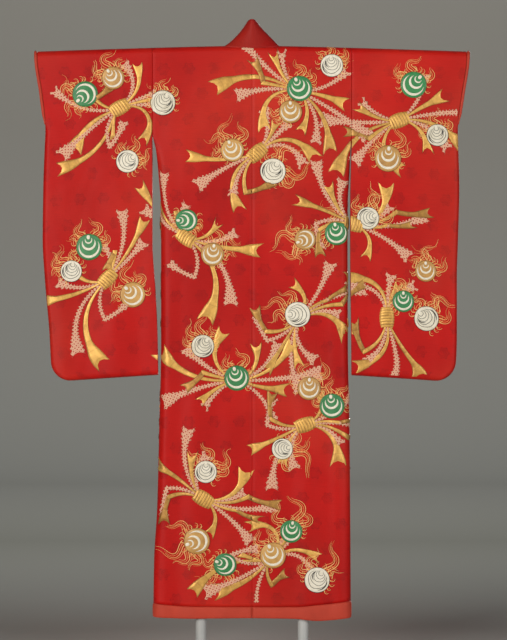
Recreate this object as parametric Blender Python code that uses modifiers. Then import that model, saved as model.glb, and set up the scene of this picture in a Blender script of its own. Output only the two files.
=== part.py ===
"""An uchikake, the padded outer robe of a bride, hung over the bar of a two-post display stand.

Metres, +Z up. The stand rests on Z = 0 with the origin under its middle, and the back of the robe
faces -Y. Left and right are those of someone who looks at that back: left is -X, the wearer's left.

Every cloth piece is a wall: an open sheet of quads, placed by the hang of the cloth and thickened
by Solidify. Distances down the cloth are called depth, and start at the fold over the bar.
"""

import math

import bmesh
import bpy
import numpy as np
from mathutils import Vector

# ---- driving dimensions ------------------------------------------------------------------------

HEM_Z = 0.150  # height of the hem above the floor
BODY_LENGTH = 1.7265  # from the hem to the top of the shoulder
BODY_HALF = 0.300  # one back panel, from the centre seam to the armhole
ARMHOLE_DEPTH = 0.265  # how far down the sleeve is sewn on
SIDE_SEAM_DEPTH = 0.43  # where the side seam begins, under the open slit
SLEEVE_DROP = 0.995  # shoulder fold to sleeve bottom
SLEEVE_TILT = 0.012  # the outer end of a sleeve's bottom is this much lower
SLEEVE_CORNER = 0.060  # radius of the sleeve's rounded outer corner
CUFF_DEPTH = 0.228  # length of the hand opening, on each layer
CUFF_ROLL = 0.0045  # radius of the padded lip round the hand opening
NECK_HALF = 0.083  # half the width of the neck
NECK_DROP = 0.018  # how far down the back the neckline dips at the centre
COLLAR_WIDTH = 0.086
COLLAR_END_DEPTH = 0.920  # where the collar stops, on the front
COLLAR_END_X = -0.096  # and how far past the centre its seam is there
OKUMI_TOP_DEPTH = 0.270  # the pointed top of the front gore
OKUMI_SEAM_X = 0.045  # the gore's seam, at the hem
OKUMI_EDGE_X = -0.100  # the gore's free edge, at the hem
FRONT_LIFT = 0.007  # the left front lies over the right one by this much
HEM_LIFT = 0.006  # and by this much more at the padded hem

CLOTH = 0.003  # face, wadding and lining together
COLLAR_CLOTH = 0.004
HEM_ROLL = 0.009  # thickness of the padded hem
EDGE_ROLL = 0.0035  # radius of the padded front edge
GAP = 0.0003  # between pieces that meet at a seam
SEAM = 0.00015  # from a piece's own edge to the seam's plane
FOLDED_SEAM = 0.0008  # the same, where one piece's two layers are sewn together
PADDED_SEAM = 0.0016  # and where two thick rolls meet
HEM_GAP = 0.0014  # between the cloth and the padded hem below it
CUFF_GAP = 0.0011  # between the sleeve's edge and the padded lip beside it

POST_RADIUS = 0.016
POST_X = 0.154
BAR_RADIUS = 0.016
BAR_HALF = 0.620
BAR_SLOPE = 0.018  # how much lower the bar is at the sleeve ends
FOLD_RADIUS = 0.018  # middle of the cloth, round the bar's axis
PLATE_SIZE = Vector((0.560, 0.380, 0.008))
PLATE_CORNER = 0.030
FLANGE_RADIUS = 0.048
FLANGE_THICKNESS = 0.006

FOLD_TOP_Z = HEM_Z + BODY_LENGTH
BAR_Z = FOLD_TOP_Z - FOLD_RADIUS - CLOTH / 2
QUARTER = FOLD_RADIUS * math.pi / 2  # cloth from the fold's top to where it hangs straight
HEM_DEPTH = BAR_Z - HEM_Z + QUARTER
SIDE_CURL = 0.020  # how far in from the side seam the cloth starts to turn

# ---- tables: a row for each level, fold or section -----------------------------------------------

# Where the side of the body is at each depth: depth, left side, right side.
BODY_SIDES = (
    (0.00, 0.3000, 0.3000),
    (0.26, 0.3000, 0.3000),
    (0.32, 0.2880, 0.2960),
    (0.41, 0.2790, 0.2915),
    (0.50, 0.2730, 0.2870),
    (0.90, 0.2730, 0.2880),
    (1.17, 0.2790, 0.2930),
    (1.40, 0.2850, 0.2950),
    (1.55, 0.2940, 0.2960),
    (1.75, 0.2970, 0.2970),
)
# Where the outer edge of a sleeve is: depth, left sleeve, right sleeve.
SLEEVE_ENDS = (
    (0.00, 0.6470, 0.6470),
    (0.04, 0.6450, 0.6450),
    (0.14, 0.6300, 0.6300),
    (0.23, 0.6210, 0.6190),
    (0.30, 0.6240, 0.6210),
    (0.41, 0.6280, 0.6240),
    (0.57, 0.6300, 0.6200),
    (0.68, 0.6240, 0.6165),
    (0.86, 0.6090, 0.6165),
    (1.02, 0.6020, 0.6090),
)
# Where its inner edge is, beside the body.
SLEEVE_INNERS = (
    (0.00, 0.3000, 0.3000),
    (0.26, 0.3000, 0.3000),
    (0.45, 0.3000, 0.2965),
    (0.60, 0.3000, 0.2960),
    (0.74, 0.2910, 0.2970),
    (0.87, 0.2850, 0.2990),
    (1.02, 0.2820, 0.3000),
)
# The padded hem: x, its lowest edge above the nominal hem, its height.
HEM_ROWS = (
    (-0.30, 0.005, 0.042),
    (-0.20, 0.001, 0.037),
    (0.00, 0.002, 0.034),
    (0.13, 0.000, 0.036),
    (0.20, -0.006, 0.048),
    (0.30, 0.003, 0.051),
)
# Soft folds that stand out from the body: x at the shoulder, x at the hem, half width, height,
# depth where it begins, depth where it is full.
BACK_FOLDS = (
    (-0.235, -0.262, 0.020, 0.0040, 0.45, 1.10),
    (-0.165, -0.176, 0.032, 0.0055, 0.60, 1.45),
    (-0.060, -0.078, 0.026, 0.0030, 0.80, 1.60),
    (0.045, 0.062, 0.034, 0.0035, 0.70, 1.50),
    (0.150, 0.168, 0.030, 0.0050, 0.35, 1.35),
    (0.235, 0.262, 0.018, 0.0045, 0.55, 1.20),
)
FRONT_FOLDS = (
    (-0.215, -0.236, 0.028, 0.0045, 0.40, 1.20),
    (-0.110, -0.130, 0.036, 0.0040, 0.70, 1.50),
    (0.010, -0.015, 0.030, 0.0030, 0.90, 1.60),
    (0.120, 0.145, 0.034, 0.0045, 0.50, 1.40),
    (0.205, 0.232, 0.024, 0.0040, 0.40, 1.10),
)
# Sways of a whole sleeve, both layers together, in the same columns. A negative height goes in.
SLEEVE_FOLDS = (
    (0.350, 0.340, 0.030, -0.0022, 0.28, 0.80),
    (0.430, 0.415, 0.034, 0.0024, 0.20, 0.90),
    (0.520, 0.505, 0.036, -0.0020, 0.30, 0.85),
    (0.590, 0.570, 0.024, 0.0020, 0.35, 0.80),
)
# The collar round the neck: x of its seam, turn of that seam round the bar (behind is negative),
# then its free edge: x, y for the left and for the right, height above the shoulder.
COLLAR_ROWS = (
    (0.0000, -51.0, 0.0000, -0.0140, -0.0140, 0.0800),
    (0.0360, -42.0, 0.0100, 0.0040, 0.0020, 0.0765),
    (0.0640, -30.0, 0.0170, 0.0200, 0.0170, 0.0680),
    (0.0770, -13.0, 0.0210, 0.0340, 0.0290, 0.0550),
    (0.0802, 6.0, 0.0210, 0.0460, 0.0370, 0.0370),
    (0.0783, 42.0, 0.0140, 0.0540, 0.0420, 0.0160),
    (0.0766, 78.0, 0.0000, 0.0580, 0.0440, -0.0060),
)
COLLAR_BULGE = {-1: 0.000, 1: 0.004}  # the right side of the collar's peak is fuller
COLLAR_STANDOFF = {-1: (0.030, 0.070), 1: (0.018, 0.050)}  # height and reach, below the peak


def smooth(low, high, value):
    """0 up to low, 1 from high on, and an even curve between."""
    t = min(max((value - low) / (high - low), 0.0), 1.0)
    return t * t * (3 - 2 * t)


def read(table, at, column):
    """A column of a table at a place between its rows, on a curve that never passes beyond them."""
    rows = np.array(table, float)
    x, y = rows[:, 0], rows[:, column]
    rise = np.diff(y) / np.diff(x)
    before, after = rise[:-1], rise[1:]
    level = before * after <= 0
    inner = np.where(level, 0.0, 2 * before * after / np.where(level, 1.0, before + after))
    slope = np.concatenate([rise[:1], inner, rise[-1:]])
    i = int(np.clip(np.searchsorted(x, at) - 1, 0, len(x) - 2))
    width = x[i + 1] - x[i]
    t = min(max((at - x[i]) / width, 0.0), 1.0)
    near = (1 + 2 * t) * (1 - t) ** 2 * y[i] + t * (1 - t) ** 2 * width * slope[i]
    far = t * t * (3 - 2 * t) * y[i + 1] + t * t * (t - 1) * width * slope[i + 1]
    return float(near + far)


def folds(table, x, depth, length):
    """The height of all the soft folds of a table at one place on the cloth."""
    total = 0.0
    for top_x, low_x, half_width, height, begins, full in table:
        middle = top_x + (low_x - top_x) * depth / length
        total += height * smooth(begins, full, depth) * math.exp(-(((x - middle) / half_width) ** 2))
    return total


# ---- how the cloth hangs -------------------------------------------------------------------------


def bar_height(x):
    """The height of the bar's axis, which slopes a little towards its ends."""
    return BAR_Z - BAR_SLOPE * (abs(x) / 0.65) ** 1.3


def hang(x, depth, face, bulge):
    """A point of cloth over the bar. face is -1 behind and 1 in front, bulge its extra distance."""
    if depth < QUARTER:
        turn = depth / FOLD_RADIUS
        return Vector((x, face * FOLD_RADIUS * math.sin(turn), bar_height(x) + FOLD_RADIUS * math.cos(turn)))
    return Vector((x, face * (FOLD_RADIUS + bulge), bar_height(x) - (depth - QUARTER)))


def belly(x, depth):
    """The body stands a little off the posts, less so beside the armhole."""
    beside = 1 - smooth(0.20, 0.30, abs(x)) * (1 - smooth(0.25, 0.50, depth))
    return 0.004 * smooth(0.05, 0.45, depth) * beside


def back_bulge(x, depth):
    return belly(x, depth) + folds(BACK_FOLDS, x, depth, HEM_DEPTH) * (1 - smooth(0.27, 0.30, abs(x)))


def front_bulge(x, depth, side):
    """The left front (side -1) lies over the right one from where the right one's collar ends."""
    over = 0.0
    if side < 0:
        lift = FRONT_LIFT * smooth(0.03, 0.15, depth) + HEM_LIFT * smooth(1.20, 1.60, depth)
        over = lift * smooth(-0.255, -0.165, x)
    waves = folds(FRONT_FOLDS, x, depth, HEM_DEPTH) * (1 - smooth(0.26, 0.29, abs(x)))
    return belly(x, depth) + waves + over


def side_x(side, depth):
    return read(BODY_SIDES, depth, 1 if side < 0 else 2) - SEAM


def collar_seam_x(depth):
    """The diagonal from the neck point to the collar's end, for the right front."""
    return NECK_HALF + (COLLAR_END_X - NECK_HALF) * depth / COLLAR_END_DEPTH


def okumi_seam_x(depth):
    top = collar_seam_x(OKUMI_TOP_DEPTH)
    down = (depth - OKUMI_TOP_DEPTH) / (HEM_DEPTH - OKUMI_TOP_DEPTH)
    return top + (OKUMI_SEAM_X - top) * down


def okumi_edge_x(depth):
    """The gore's free edge: along the collar's seam, then nearly straight down."""
    if depth < COLLAR_END_DEPTH:
        return collar_seam_x(depth)
    down = (depth - COLLAR_END_DEPTH) / (HEM_DEPTH - COLLAR_END_DEPTH)
    return COLLAR_END_X + (OKUMI_EDGE_X - COLLAR_END_X) * down


def inner_x(face, depth):
    """The edge of a body panel towards the centre, for the right side."""
    if face < 0:
        if depth >= NECK_DROP:
            return SEAM
        return NECK_HALF * (1 - (depth / NECK_DROP) ** 3)
    if depth < OKUMI_TOP_DEPTH:
        return collar_seam_x(depth)
    return okumi_seam_x(depth)


def turned(point, side, share, closing, edge_x, seam):
    """Turns cloth near a side seam round towards Y = 0. share is 0 where the turn begins and 1 at
    the seam, closing is how much of the turn there is at this depth, and seam is how far from
    Y = 0 it ends."""
    if share <= 0 or closing <= 0:
        return point
    angle = share * math.pi / 2
    round_x = side * (edge_x - SIDE_CURL + SIDE_CURL * math.sin(angle))
    face = math.copysign(1, point.y)
    round_y = face * (seam + (abs(point.y) - seam) * math.cos(angle))
    closed = Vector((round_x, round_y, point.z))
    return point.lerp(closed, closing)


def body_point(side, face, across, depth):
    """A point of a body panel. across is 0 at the inner edge and 1 at the side seam."""
    low, high = inner_x(face, depth), side_x(side, depth)
    closing = smooth(ARMHOLE_DEPTH, SIDE_SEAM_DEPTH, depth)
    straight = low + (high - low) * across
    start = 1 - SIDE_CURL / (high - low)
    x = side * straight
    bulge = back_bulge(x, depth) if face < 0 else front_bulge(x, depth, side)
    point = hang(x, depth, face, bulge)
    return turned(point, side, (across - start) / (1 - start), closing, high, FOLDED_SEAM)


def sleeve_half_depth(depth):
    """Half the distance between a sleeve's two layers."""
    return FOLD_RADIUS - 0.004 * smooth(0.05, 0.60, depth)


def sleeve_drop(x):
    return SLEEVE_DROP + SLEEVE_TILT * (abs(x) - BODY_HALF) / 0.35


def sleeve_point(side, face, inwards, depth_share):
    """A point of a sleeve. inwards is the distance from its outer edge, as a share of its width,
    and depth_share runs from 0 at the fold over the bar to 1 at the bottom."""
    column = 1 if side < 0 else 2
    low = read(SLEEVE_INNERS, depth_share * SLEEVE_DROP, column) + SEAM
    high = read(SLEEVE_ENDS, depth_share * SLEEVE_DROP, column)
    corner = max(0.0, depth_share * SLEEVE_DROP - (SLEEVE_DROP - SLEEVE_CORNER)) / SLEEVE_CORNER
    high -= SLEEVE_CORNER * (1 - math.sqrt(max(0.0, 1 - corner**2)))
    x = side * (high - (high - low) * inwards)
    depth = depth_share * sleeve_drop(x)
    to_end = (high - low) * inwards
    to_bottom = sleeve_drop(x) - depth
    sewn = smooth(CUFF_DEPTH, CUFF_DEPTH + 0.03, depth)
    shut = min(rounded(to_bottom), 1 - sewn * (1 - rounded(to_end)))
    if depth < QUARTER:
        return hang(x, depth, face, 0)
    sway = folds(SLEEVE_FOLDS, abs(x), depth, SLEEVE_DROP)
    point = hang(x, depth, face, 0)
    point.y = face * (FOLDED_SEAM + (sleeve_half_depth(depth) - FOLDED_SEAM) * shut) - sway
    return point


def rounded(distance):
    """How open the two layers are at a distance from a seam that joins them: 0 at it, 1 beyond."""
    reach = 0.012
    return math.sqrt(max(0.0, 1 - (1 - min(distance / reach, 1.0)) ** 2))


def collar_point(side, station, across):
    """A point of the collar. station is 0 at the centre back and counts the rows of COLLAR_ROWS,
    then runs on in steps down the front; across is 0 at the seam and 1 at the free edge."""
    last = len(COLLAR_ROWS) - 1
    if station <= last:
        seam_x, turn, edge_x, edge_left, edge_right, edge_up = COLLAR_ROWS[station]
        angle = math.radians(turn)
        radius = FOLD_RADIUS + COLLAR_CLOTH / 2
        seam = Vector((side * seam_x, radius * math.sin(angle), bar_height(seam_x) + radius * math.cos(angle)))
        edge_y = edge_left if side < 0 else edge_right
        edge = Vector((side * edge_x, edge_y, FOLD_TOP_Z + edge_up))
        bulge = COLLAR_BULGE[side] * math.sin(math.pi * across) * min(station, 3) / 3
        point = seam.lerp(edge, across)
        return point + Vector((side * bulge, 0, bulge * 0.6))
    depth = collar_depth(station - last)
    slope = math.atan2(NECK_HALF - COLLAR_END_X, COLLAR_END_DEPTH)
    clear = GAP + COLLAR_CLOTH / 2 * (1 - smooth(0.02, 0.20, depth))
    x = collar_seam_x(depth) - clear - COLLAR_WIDTH * across * math.cos(slope)
    level = depth - COLLAR_WIDTH * across * math.sin(slope) * smooth(0, 0.12, COLLAR_END_DEPTH - depth)
    height, reach = COLLAR_STANDOFF[side]
    standoff = height * math.exp(-(depth - 0.024) / reach) * across
    bulge = front_bulge(side * x, max(depth, QUARTER), side)
    point = hang(side * x, max(level, QUARTER), 1, bulge + standoff)
    return point


COLLAR_STEPS = 10


def collar_depth(step):
    """Depth of the collar's stations down the front: close together at first."""
    share = step / COLLAR_STEPS
    return 0.058 + (COLLAR_END_DEPTH - 0.058) * ((share - 1 / COLLAR_STEPS) / (1 - 1 / COLLAR_STEPS)) ** 1.4


def okumi_point(side, across, depth):
    """A point of the front gore. across is 0 at its seam and 1 at its free edge."""
    low, high = okumi_edge_x(depth) + GAP, okumi_seam_x(depth) - GAP
    x = side * (high + (low - high) * across)
    return hang(x, depth, 1, front_bulge(x, depth, side))


def hem_point(side, face, along, up):
    """A point of the padded hem. along runs from the centre or the front edge to the side seam."""
    depth = HEM_DEPTH - 0.03
    high = side_x(side, depth)
    low = SEAM if face < 0 else okumi_edge_x(HEM_DEPTH) - EDGE_ROLL
    straight = low + (high - low) * along
    x = side * straight
    start = 1 - SIDE_CURL / (high - low)
    bulge = back_bulge(x, depth) if face < 0 else front_bulge(x, depth, side)
    point = hang(x, depth, face, bulge + (HEM_ROLL - CLOTH) / 2)
    point = turned(point, side, (along - start) / (1 - start), 1.0, high, PADDED_SEAM)
    height = read(HEM_ROWS, x, 2)
    point.z = HEM_Z + read(HEM_ROWS, x, 1) + height * up
    return point


def hem_top_depth(x):
    """Depth at which the body's cloth ends, just above the padded hem."""
    top = HEM_Z + read(HEM_ROWS, x, 1) + read(HEM_ROWS, x, 2)
    return QUARTER + bar_height(x) - top - HEM_GAP


# ---- building ------------------------------------------------------------------------------------


def clear_scene():
    for obj in list(bpy.data.objects):
        bpy.data.objects.remove(obj)


def collection(name):
    made = bpy.data.collections.new(name)
    bpy.context.scene.collection.children.link(made)
    return made


def material(name, colour, roughness, metallic=0.0):
    made = bpy.data.materials.new(name)
    made.use_nodes = True
    shader = made.node_tree.nodes["Principled BSDF"]
    shader.inputs["Base Color"].default_value = (*colour, 1.0)
    shader.inputs["Roughness"].default_value = roughness
    shader.inputs["Metallic"].default_value = metallic
    return made


def add_object(name, data, look, group):
    obj = bpy.data.objects.new(name, data)
    obj.data.materials.append(look)
    group.objects.link(obj)
    return obj


def sheet(name, columns, rows, place, thickness, look, group):
    """A cloth wall: a grid whose points are put where place(column, row) says, then thickened."""
    bm = bmesh.new()
    bmesh.ops.create_grid(bm, x_segments=len(columns) - 1, y_segments=len(rows) - 1, size=0.5)
    for vert in bm.verts:
        i = round((vert.co.x + 0.5) * (len(columns) - 1))
        j = round((vert.co.y + 0.5) * (len(rows) - 1))
        vert.co = place(columns[i], rows[j])
    mesh = bpy.data.meshes.new(name)
    bm.to_mesh(mesh)
    bm.free()
    mesh.shade_smooth()
    obj = add_object(name, mesh, look, group)
    wall = obj.modifiers.new("Thickness", "SOLIDIFY")
    wall.thickness = thickness
    wall.offset = 0
    wall.use_even_offset = True
    return obj


def tube(name, points, radius, look, group, sides=1):
    """A round bar or a padded lip along a smooth line of points."""
    curve = bpy.data.curves.new(name, "CURVE")
    curve.dimensions = "3D"
    curve.bevel_depth = radius
    curve.bevel_resolution = sides
    curve.use_fill_caps = True
    spline = curve.splines.new("POLY")
    spline.points.add(len(points) - 1)
    for knot, point in zip(spline.points, points):
        knot.co = (*point, 1.0)
    return add_object(name, curve, look, group)


def spread(count, low=0.0, high=1.0):
    return [low + (high - low) * i / count for i in range(count + 1)]


def body_columns():
    """Shares across a body panel: wide in the flat of the panel, close where it turns."""
    return [*spread(7, 0.0, 0.93), 0.955, 0.98, 1.0]


def fold_depths():
    """Depths of the rows that go round one side of the bar."""
    return [turn / 90 * QUARTER for turn in (90, 67.5, 45, 22.5)]


def body_rows():
    """(face, share of the way down, depth) of each row, from the back's hem over the bar to the
    front's. Round the bar the depth is given, and below it the share."""
    shares = [1.0, 0.90, 0.78, 0.66, 0.54, 0.43, 0.34, 0.27, 0.215, 0.18, 0.15, 0.10, 0.05]
    down = [(-1, share, None) for share in shares]
    neck = [NECK_DROP * share for share in (1.0, 0.93, 0.78, 0.58, 0.32)]
    behind = [(-1, 0.0, depth) for depth in (QUARTER, QUARTER * 0.8, *neck)]
    before = [(1, 0.0, depth) for depth in reversed(fold_depths())]
    return [*down, *behind, (1, 0.0, 0.0), *before, *[(1, share, None) for share in reversed(shares)]]


def make_body(side, name, look, group):
    def place(across, row):
        face, share, depth = row
        if depth is None:
            x = side * (inner_x(face, 1.7) + (side_x(side, 1.7) - inner_x(face, 1.7)) * across)
            depth = QUARTER + (hem_top_depth(x) - QUARTER) * share
        return body_point(side, face, across, depth)

    return sheet(name, body_columns(), body_rows(), place, CLOTH, look, group)


def sleeve_columns():
    """Shares in from the sleeve's outer edge, close together where the layers round over."""
    return [0.0, 0.006, 0.018, 0.036, *spread(6, 0.10, 1.0)]


def cuff_depths():
    """Depths of the rows along the hand opening, from its lowest end up to the fold."""
    return [share * CUFF_DEPTH for share in (1.0, 0.82, 0.64, 0.46, 0.28)] + fold_depths()


def sleeve_rows():
    """(face, depth share) for each row, from the back's bottom over the bar to the front's."""
    corner = SLEEVE_CORNER / SLEEVE_DROP
    lowest = [1 - corner + corner * math.sin(math.radians(turn)) for turn in (90, 77, 60, 34, 0)]
    shares = [*lowest, 0.83, 0.69, 0.55, 0.41, 0.30, 0.255]
    down = shares + [depth / SLEEVE_DROP for depth in cuff_depths()]
    return [(-1, share) for share in down] + [(1, 0.0)] + [(1, share) for share in reversed(down)]


def make_sleeve(side, name, look, group):
    def place(inwards, row):
        return sleeve_point(side, row[0], inwards, row[1])

    return sheet(name, sleeve_columns(), sleeve_rows(), place, CLOTH, look, group)


def make_cuff(side, name, look, group):
    """The padded lip round the hand opening, from behind over the bar to the front."""
    line = [(-1, depth) for depth in cuff_depths()] + [(1, 0.0)]
    line += [(1, depth) for depth in reversed(cuff_depths())]
    points = []
    for face, depth in line:
        point = sleeve_point(side, face, 0.0, depth / SLEEVE_DROP)
        points.append(point + Vector((side * (CUFF_ROLL + CUFF_GAP), 0, 0)))
    return tube(name, points, CUFF_ROLL, look, group)


def make_collar(name, look, group):
    """One band from the end on the left front, up round the neck, to the end on the right front."""
    last = len(COLLAR_ROWS) - 1 + COLLAR_STEPS
    stations = [(-1, i) for i in range(last, 0, -1)] + [(1, i) for i in range(last + 1)]

    def place(across, station):
        return collar_point(station[0], station[1], across)

    return sheet(name, spread(5), stations, place, COLLAR_CLOTH, look, group)


def edge_depths(side):
    """Depths of the rows down the free front edge, from the collar's end to just above the hem."""
    low = hem_top_depth(side * OKUMI_EDGE_X) - 0.002
    return spread(11, COLLAR_END_DEPTH + 0.003, low)


def make_okumi(side, name, look, group):
    rows = [*spread(6, OKUMI_TOP_DEPTH + 0.012, COLLAR_END_DEPTH), *edge_depths(side)[:-1], None]

    def place(across, row):
        x = side * (OKUMI_SEAM_X + (OKUMI_EDGE_X - OKUMI_SEAM_X) * across)
        return okumi_point(side, across, hem_top_depth(x) if row is None else row)

    return sheet(name, spread(4), rows, place, CLOTH, look, group)


def make_front_edge(side, name, look, group):
    """The padded front edge, from the collar's end down to the hem."""
    points = []
    for depth in edge_depths(side):
        x = side * (okumi_edge_x(depth) - EDGE_ROLL - GAP)
        points.append(hang(x, depth, 1, front_bulge(x, depth, side)))
    return tube(name, points, EDGE_ROLL, look, group)


def make_hem(side, face, name, look, group):
    columns = [*spread(7, 0.0, 0.93), 0.955, 0.98, 1.0]

    def place(along, up):
        return hem_point(side, face, along, up)

    obj = sheet(name, columns, [0.0, 1.0], place, HEM_ROLL, look, group)
    soft = obj.modifiers.new("Rounded", "BEVEL")
    soft.width = 0.0032
    soft.segments = 2
    soft.limit_method = "ANGLE"
    soft.angle_limit = math.radians(50)
    return obj


def make_bar(look, group):
    line = [Vector((x, 0, bar_height(x))) for x in spread(16, -BAR_HALF, BAR_HALF)]
    return tube("crossbar", line, BAR_RADIUS, look, group, sides=6)


def cylinder(name, radius, low, high, place, look, group, segments=40):
    bm = bmesh.new()
    bmesh.ops.create_cone(
        bm, cap_ends=True, segments=segments, radius1=radius, radius2=radius, depth=high - low
    )
    mesh = bpy.data.meshes.new(name)
    bm.to_mesh(mesh)
    bm.free()
    mesh.shade_smooth()
    mesh.set_sharp_from_angle(angle=math.radians(40))
    obj = add_object(name, mesh, look, group)
    obj.location = (place[0], place[1], (low + high) / 2)
    return obj


def make_post(side, name, look, group, cutters):
    """A post whose top is hollowed out to take the bar."""
    low = PLATE_SIZE.z + GAP + FLANGE_THICKNESS + GAP
    top = bar_height(POST_X)
    post = cylinder(name, POST_RADIUS, low, top - 0.009, (side * POST_X, 0), look, group)
    saddle = cylinder(name + "_saddle", BAR_RADIUS + 0.0004, 0, 0.10, (0, 0), look, cutters, segments=64)
    slope = math.atan2(bar_height(POST_X - 0.02) - bar_height(POST_X + 0.02), 0.04)
    saddle.location = (side * POST_X, 0, top)
    saddle.rotation_euler = (0, math.pi / 2 + side * slope, 0)
    saddle.hide_render = True
    saddle.display_type = "WIRE"
    cut = post.modifiers.new("Saddle", "BOOLEAN")
    cut.operation = "DIFFERENCE"
    cut.object = saddle
    return post


def make_plate(look, group):
    """A flat steel foot with rounded corners, drawn as an outline and given its thickness."""
    curve = bpy.data.curves.new("base_plate", "CURVE")
    curve.dimensions = "2D"
    curve.fill_mode = "BOTH"
    curve.extrude = PLATE_SIZE.z / 2 - 0.0008
    curve.bevel_depth = 0.0008
    curve.bevel_resolution = 1
    curve.offset = -0.0008
    spline = curve.splines.new("POLY")
    outline = []
    for sx, sy, start in ((1, 1, 0), (-1, 1, 90), (-1, -1, 180), (1, -1, 270)):
        middle = (sx * (PLATE_SIZE.x / 2 - PLATE_CORNER), sy * (PLATE_SIZE.y / 2 - PLATE_CORNER))
        for turn in spread(6, start, start + 90):
            angle = math.radians(turn)
            outline.append(
                (middle[0] + PLATE_CORNER * math.cos(angle), middle[1] + PLATE_CORNER * math.sin(angle))
            )
    spline.points.add(len(outline) - 1)
    for knot, (x, y) in zip(spline.points, outline):
        knot.co = (x, y, 0, 1)
    spline.use_cyclic_u = True
    plate = add_object("base_plate", curve, look, group)
    plate.location.z = PLATE_SIZE.z / 2
    return plate


def main():
    clear_scene()
    robe = collection("uchikake_on_stand")
    cutters = collection("cutters")
    satin = material("red_satin", (0.46, 0.012, 0.014), 0.45)
    lining = material("orange_red_lining", (0.52, 0.055, 0.030), 0.55)
    paint = material("pale_grey_paint", (0.42, 0.42, 0.40), 0.40)
    for side, word in ((-1, "left"), (1, "right")):
        make_body(side, f"body_{word}", satin, robe)
        make_okumi(side, f"okumi_{word}", satin, robe)
        make_sleeve(side, f"sleeve_{word}", satin, robe)
        make_cuff(side, f"cuff_{word}", lining, robe)
        make_hem(side, -1, f"hem_back_{word}", lining, robe)
        make_hem(side, 1, f"hem_front_{word}", lining, robe)
        make_front_edge(side, f"front_edge_{word}", lining, robe)
        make_post(side, f"post_{word}", paint, robe, cutters)
        flange_low = PLATE_SIZE.z + GAP
        cylinder(
            f"flange_{word}",
            FLANGE_RADIUS,
            flange_low,
            flange_low + FLANGE_THICKNESS,
            (side * POST_X, 0),
            paint,
            robe,
        )
    make_collar("collar", satin, robe)
    make_bar(paint, robe)
    make_plate(paint, robe)


main()
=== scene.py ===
"""Looks of an uchikake, a bride's padded outer robe, hung over the bar of a two-post display stand.

Metres, +Z up. The back of the robe faces -Y, and left is -X, the wearer's left. Cloth is drawn flat
first: across is the distance from the middle of the back, and depth the distance down from the fold
over the bar. The hang of the cloth then places both the panels and the embroidery that lies on
them.
"""

import math

import bmesh
import bpy
import numpy as np
from bpy.props import FloatProperty, FloatVectorProperty, IntProperty, PointerProperty
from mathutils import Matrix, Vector


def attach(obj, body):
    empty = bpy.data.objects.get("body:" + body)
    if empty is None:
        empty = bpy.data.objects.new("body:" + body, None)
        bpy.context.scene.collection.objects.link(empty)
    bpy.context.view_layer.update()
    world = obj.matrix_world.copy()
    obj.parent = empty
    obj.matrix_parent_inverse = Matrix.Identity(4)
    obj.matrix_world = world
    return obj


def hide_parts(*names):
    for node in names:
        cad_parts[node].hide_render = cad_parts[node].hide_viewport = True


bl_info = {
    "name": "Uchikake on a stand",
    "version": (1, 0, 0),
    "blender": (4, 5, 0),
    "location": "View3D > Sidebar > Uchikake",
    "description": "Makes an embroidered silk robe with padded edges, hung on a display stand",
    "category": "Add Mesh",
}

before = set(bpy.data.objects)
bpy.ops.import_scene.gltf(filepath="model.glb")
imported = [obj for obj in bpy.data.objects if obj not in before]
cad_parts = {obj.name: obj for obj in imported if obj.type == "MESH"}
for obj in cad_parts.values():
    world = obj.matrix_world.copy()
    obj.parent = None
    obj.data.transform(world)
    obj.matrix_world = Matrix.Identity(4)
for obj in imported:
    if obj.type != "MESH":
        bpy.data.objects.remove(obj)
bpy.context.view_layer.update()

# ---- the hang of the cloth, in the sizes of the robe's construction ------------------------------

HEM_Z = 0.150
BODY_LENGTH = 1.7265
BODY_HALF = 0.300
ARMHOLE_DEPTH = 0.265
SIDE_SEAM_DEPTH = 0.43
SLEEVE_DROP = 0.995
SLEEVE_TILT = 0.012  # how much longer a sleeve is at the cuff than beside the body
SLEEVE_CORNER = 0.060
SLEEVE_WIDTH = 0.350
CUFF_DEPTH = 0.228
CUFF_ROLL = 0.0045
NECK_HALF = 0.083
NECK_DROP = 0.018
COLLAR_WIDTH = 0.086
COLLAR_END_DEPTH = 0.920
COLLAR_END_X = -0.096
OKUMI_TOP_DEPTH = 0.270
OKUMI_SEAM_X = 0.045
OKUMI_EDGE_X = -0.100
OKUMI_WIDTH = 0.145
OKUMI_BEGIN = OKUMI_TOP_DEPTH + 0.012  # where the gore's point is
FRONT_LIFT = 0.007  # of the left front, which lies over the right one
HEM_LIFT = 0.006  # what comes to it near the padded hem
CLOTH = 0.003
COLLAR_CLOTH = 0.004
HEM_ROLL = 0.009
EDGE_ROLL = 0.0035
GAP = 0.0003  # between neighbours
SEAM = 0.00015  # from a seam to each of its two panels
FOLDED_SEAM = 0.0008  # the same where a side seam joins back and front
PADDED_SEAM = 0.0016  # the same in the padded hem
TUCK = 0.0012  # how far a panel goes into the padded hem
HEM_MIDDLE = 0.03  # how far up the padded hem the line that it follows is
CUFF_GAP = 0.0011  # between a sleeve's edge and its padded lip
BAR_SLOPE = 0.018  # how much lower the bar's ends are than its middle
FOLD_RADIUS = 0.018
SIDE_CURL = 0.020
BELLY = 0.004  # how far the middle of the body stands out
SEAM_DIP = 0.0021  # how deep cloth sinks into a seam
SEAM_DIP_WIDTH = 0.0026
SEAM_ROUND = 0.012  # how far from a seam that shuts two layers they are fully open
SLEEVE_THINNING = 0.004  # how much nearer a sleeve's layers are lower down
FOLD_TOP_Z = HEM_Z + BODY_LENGTH
BAR_Z = FOLD_TOP_Z - FOLD_RADIUS - CLOTH / 2
QUARTER = FOLD_RADIUS * math.pi / 2
HEM_DEPTH = BAR_Z - HEM_Z + QUARTER
SIDES = ((-1, "left"), (1, "right"))
FACINGS = ((-1, "back"), (1, "front"))
SHOWN_FROM = 0.085  # how far across the right front comes out from under the left one
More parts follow.
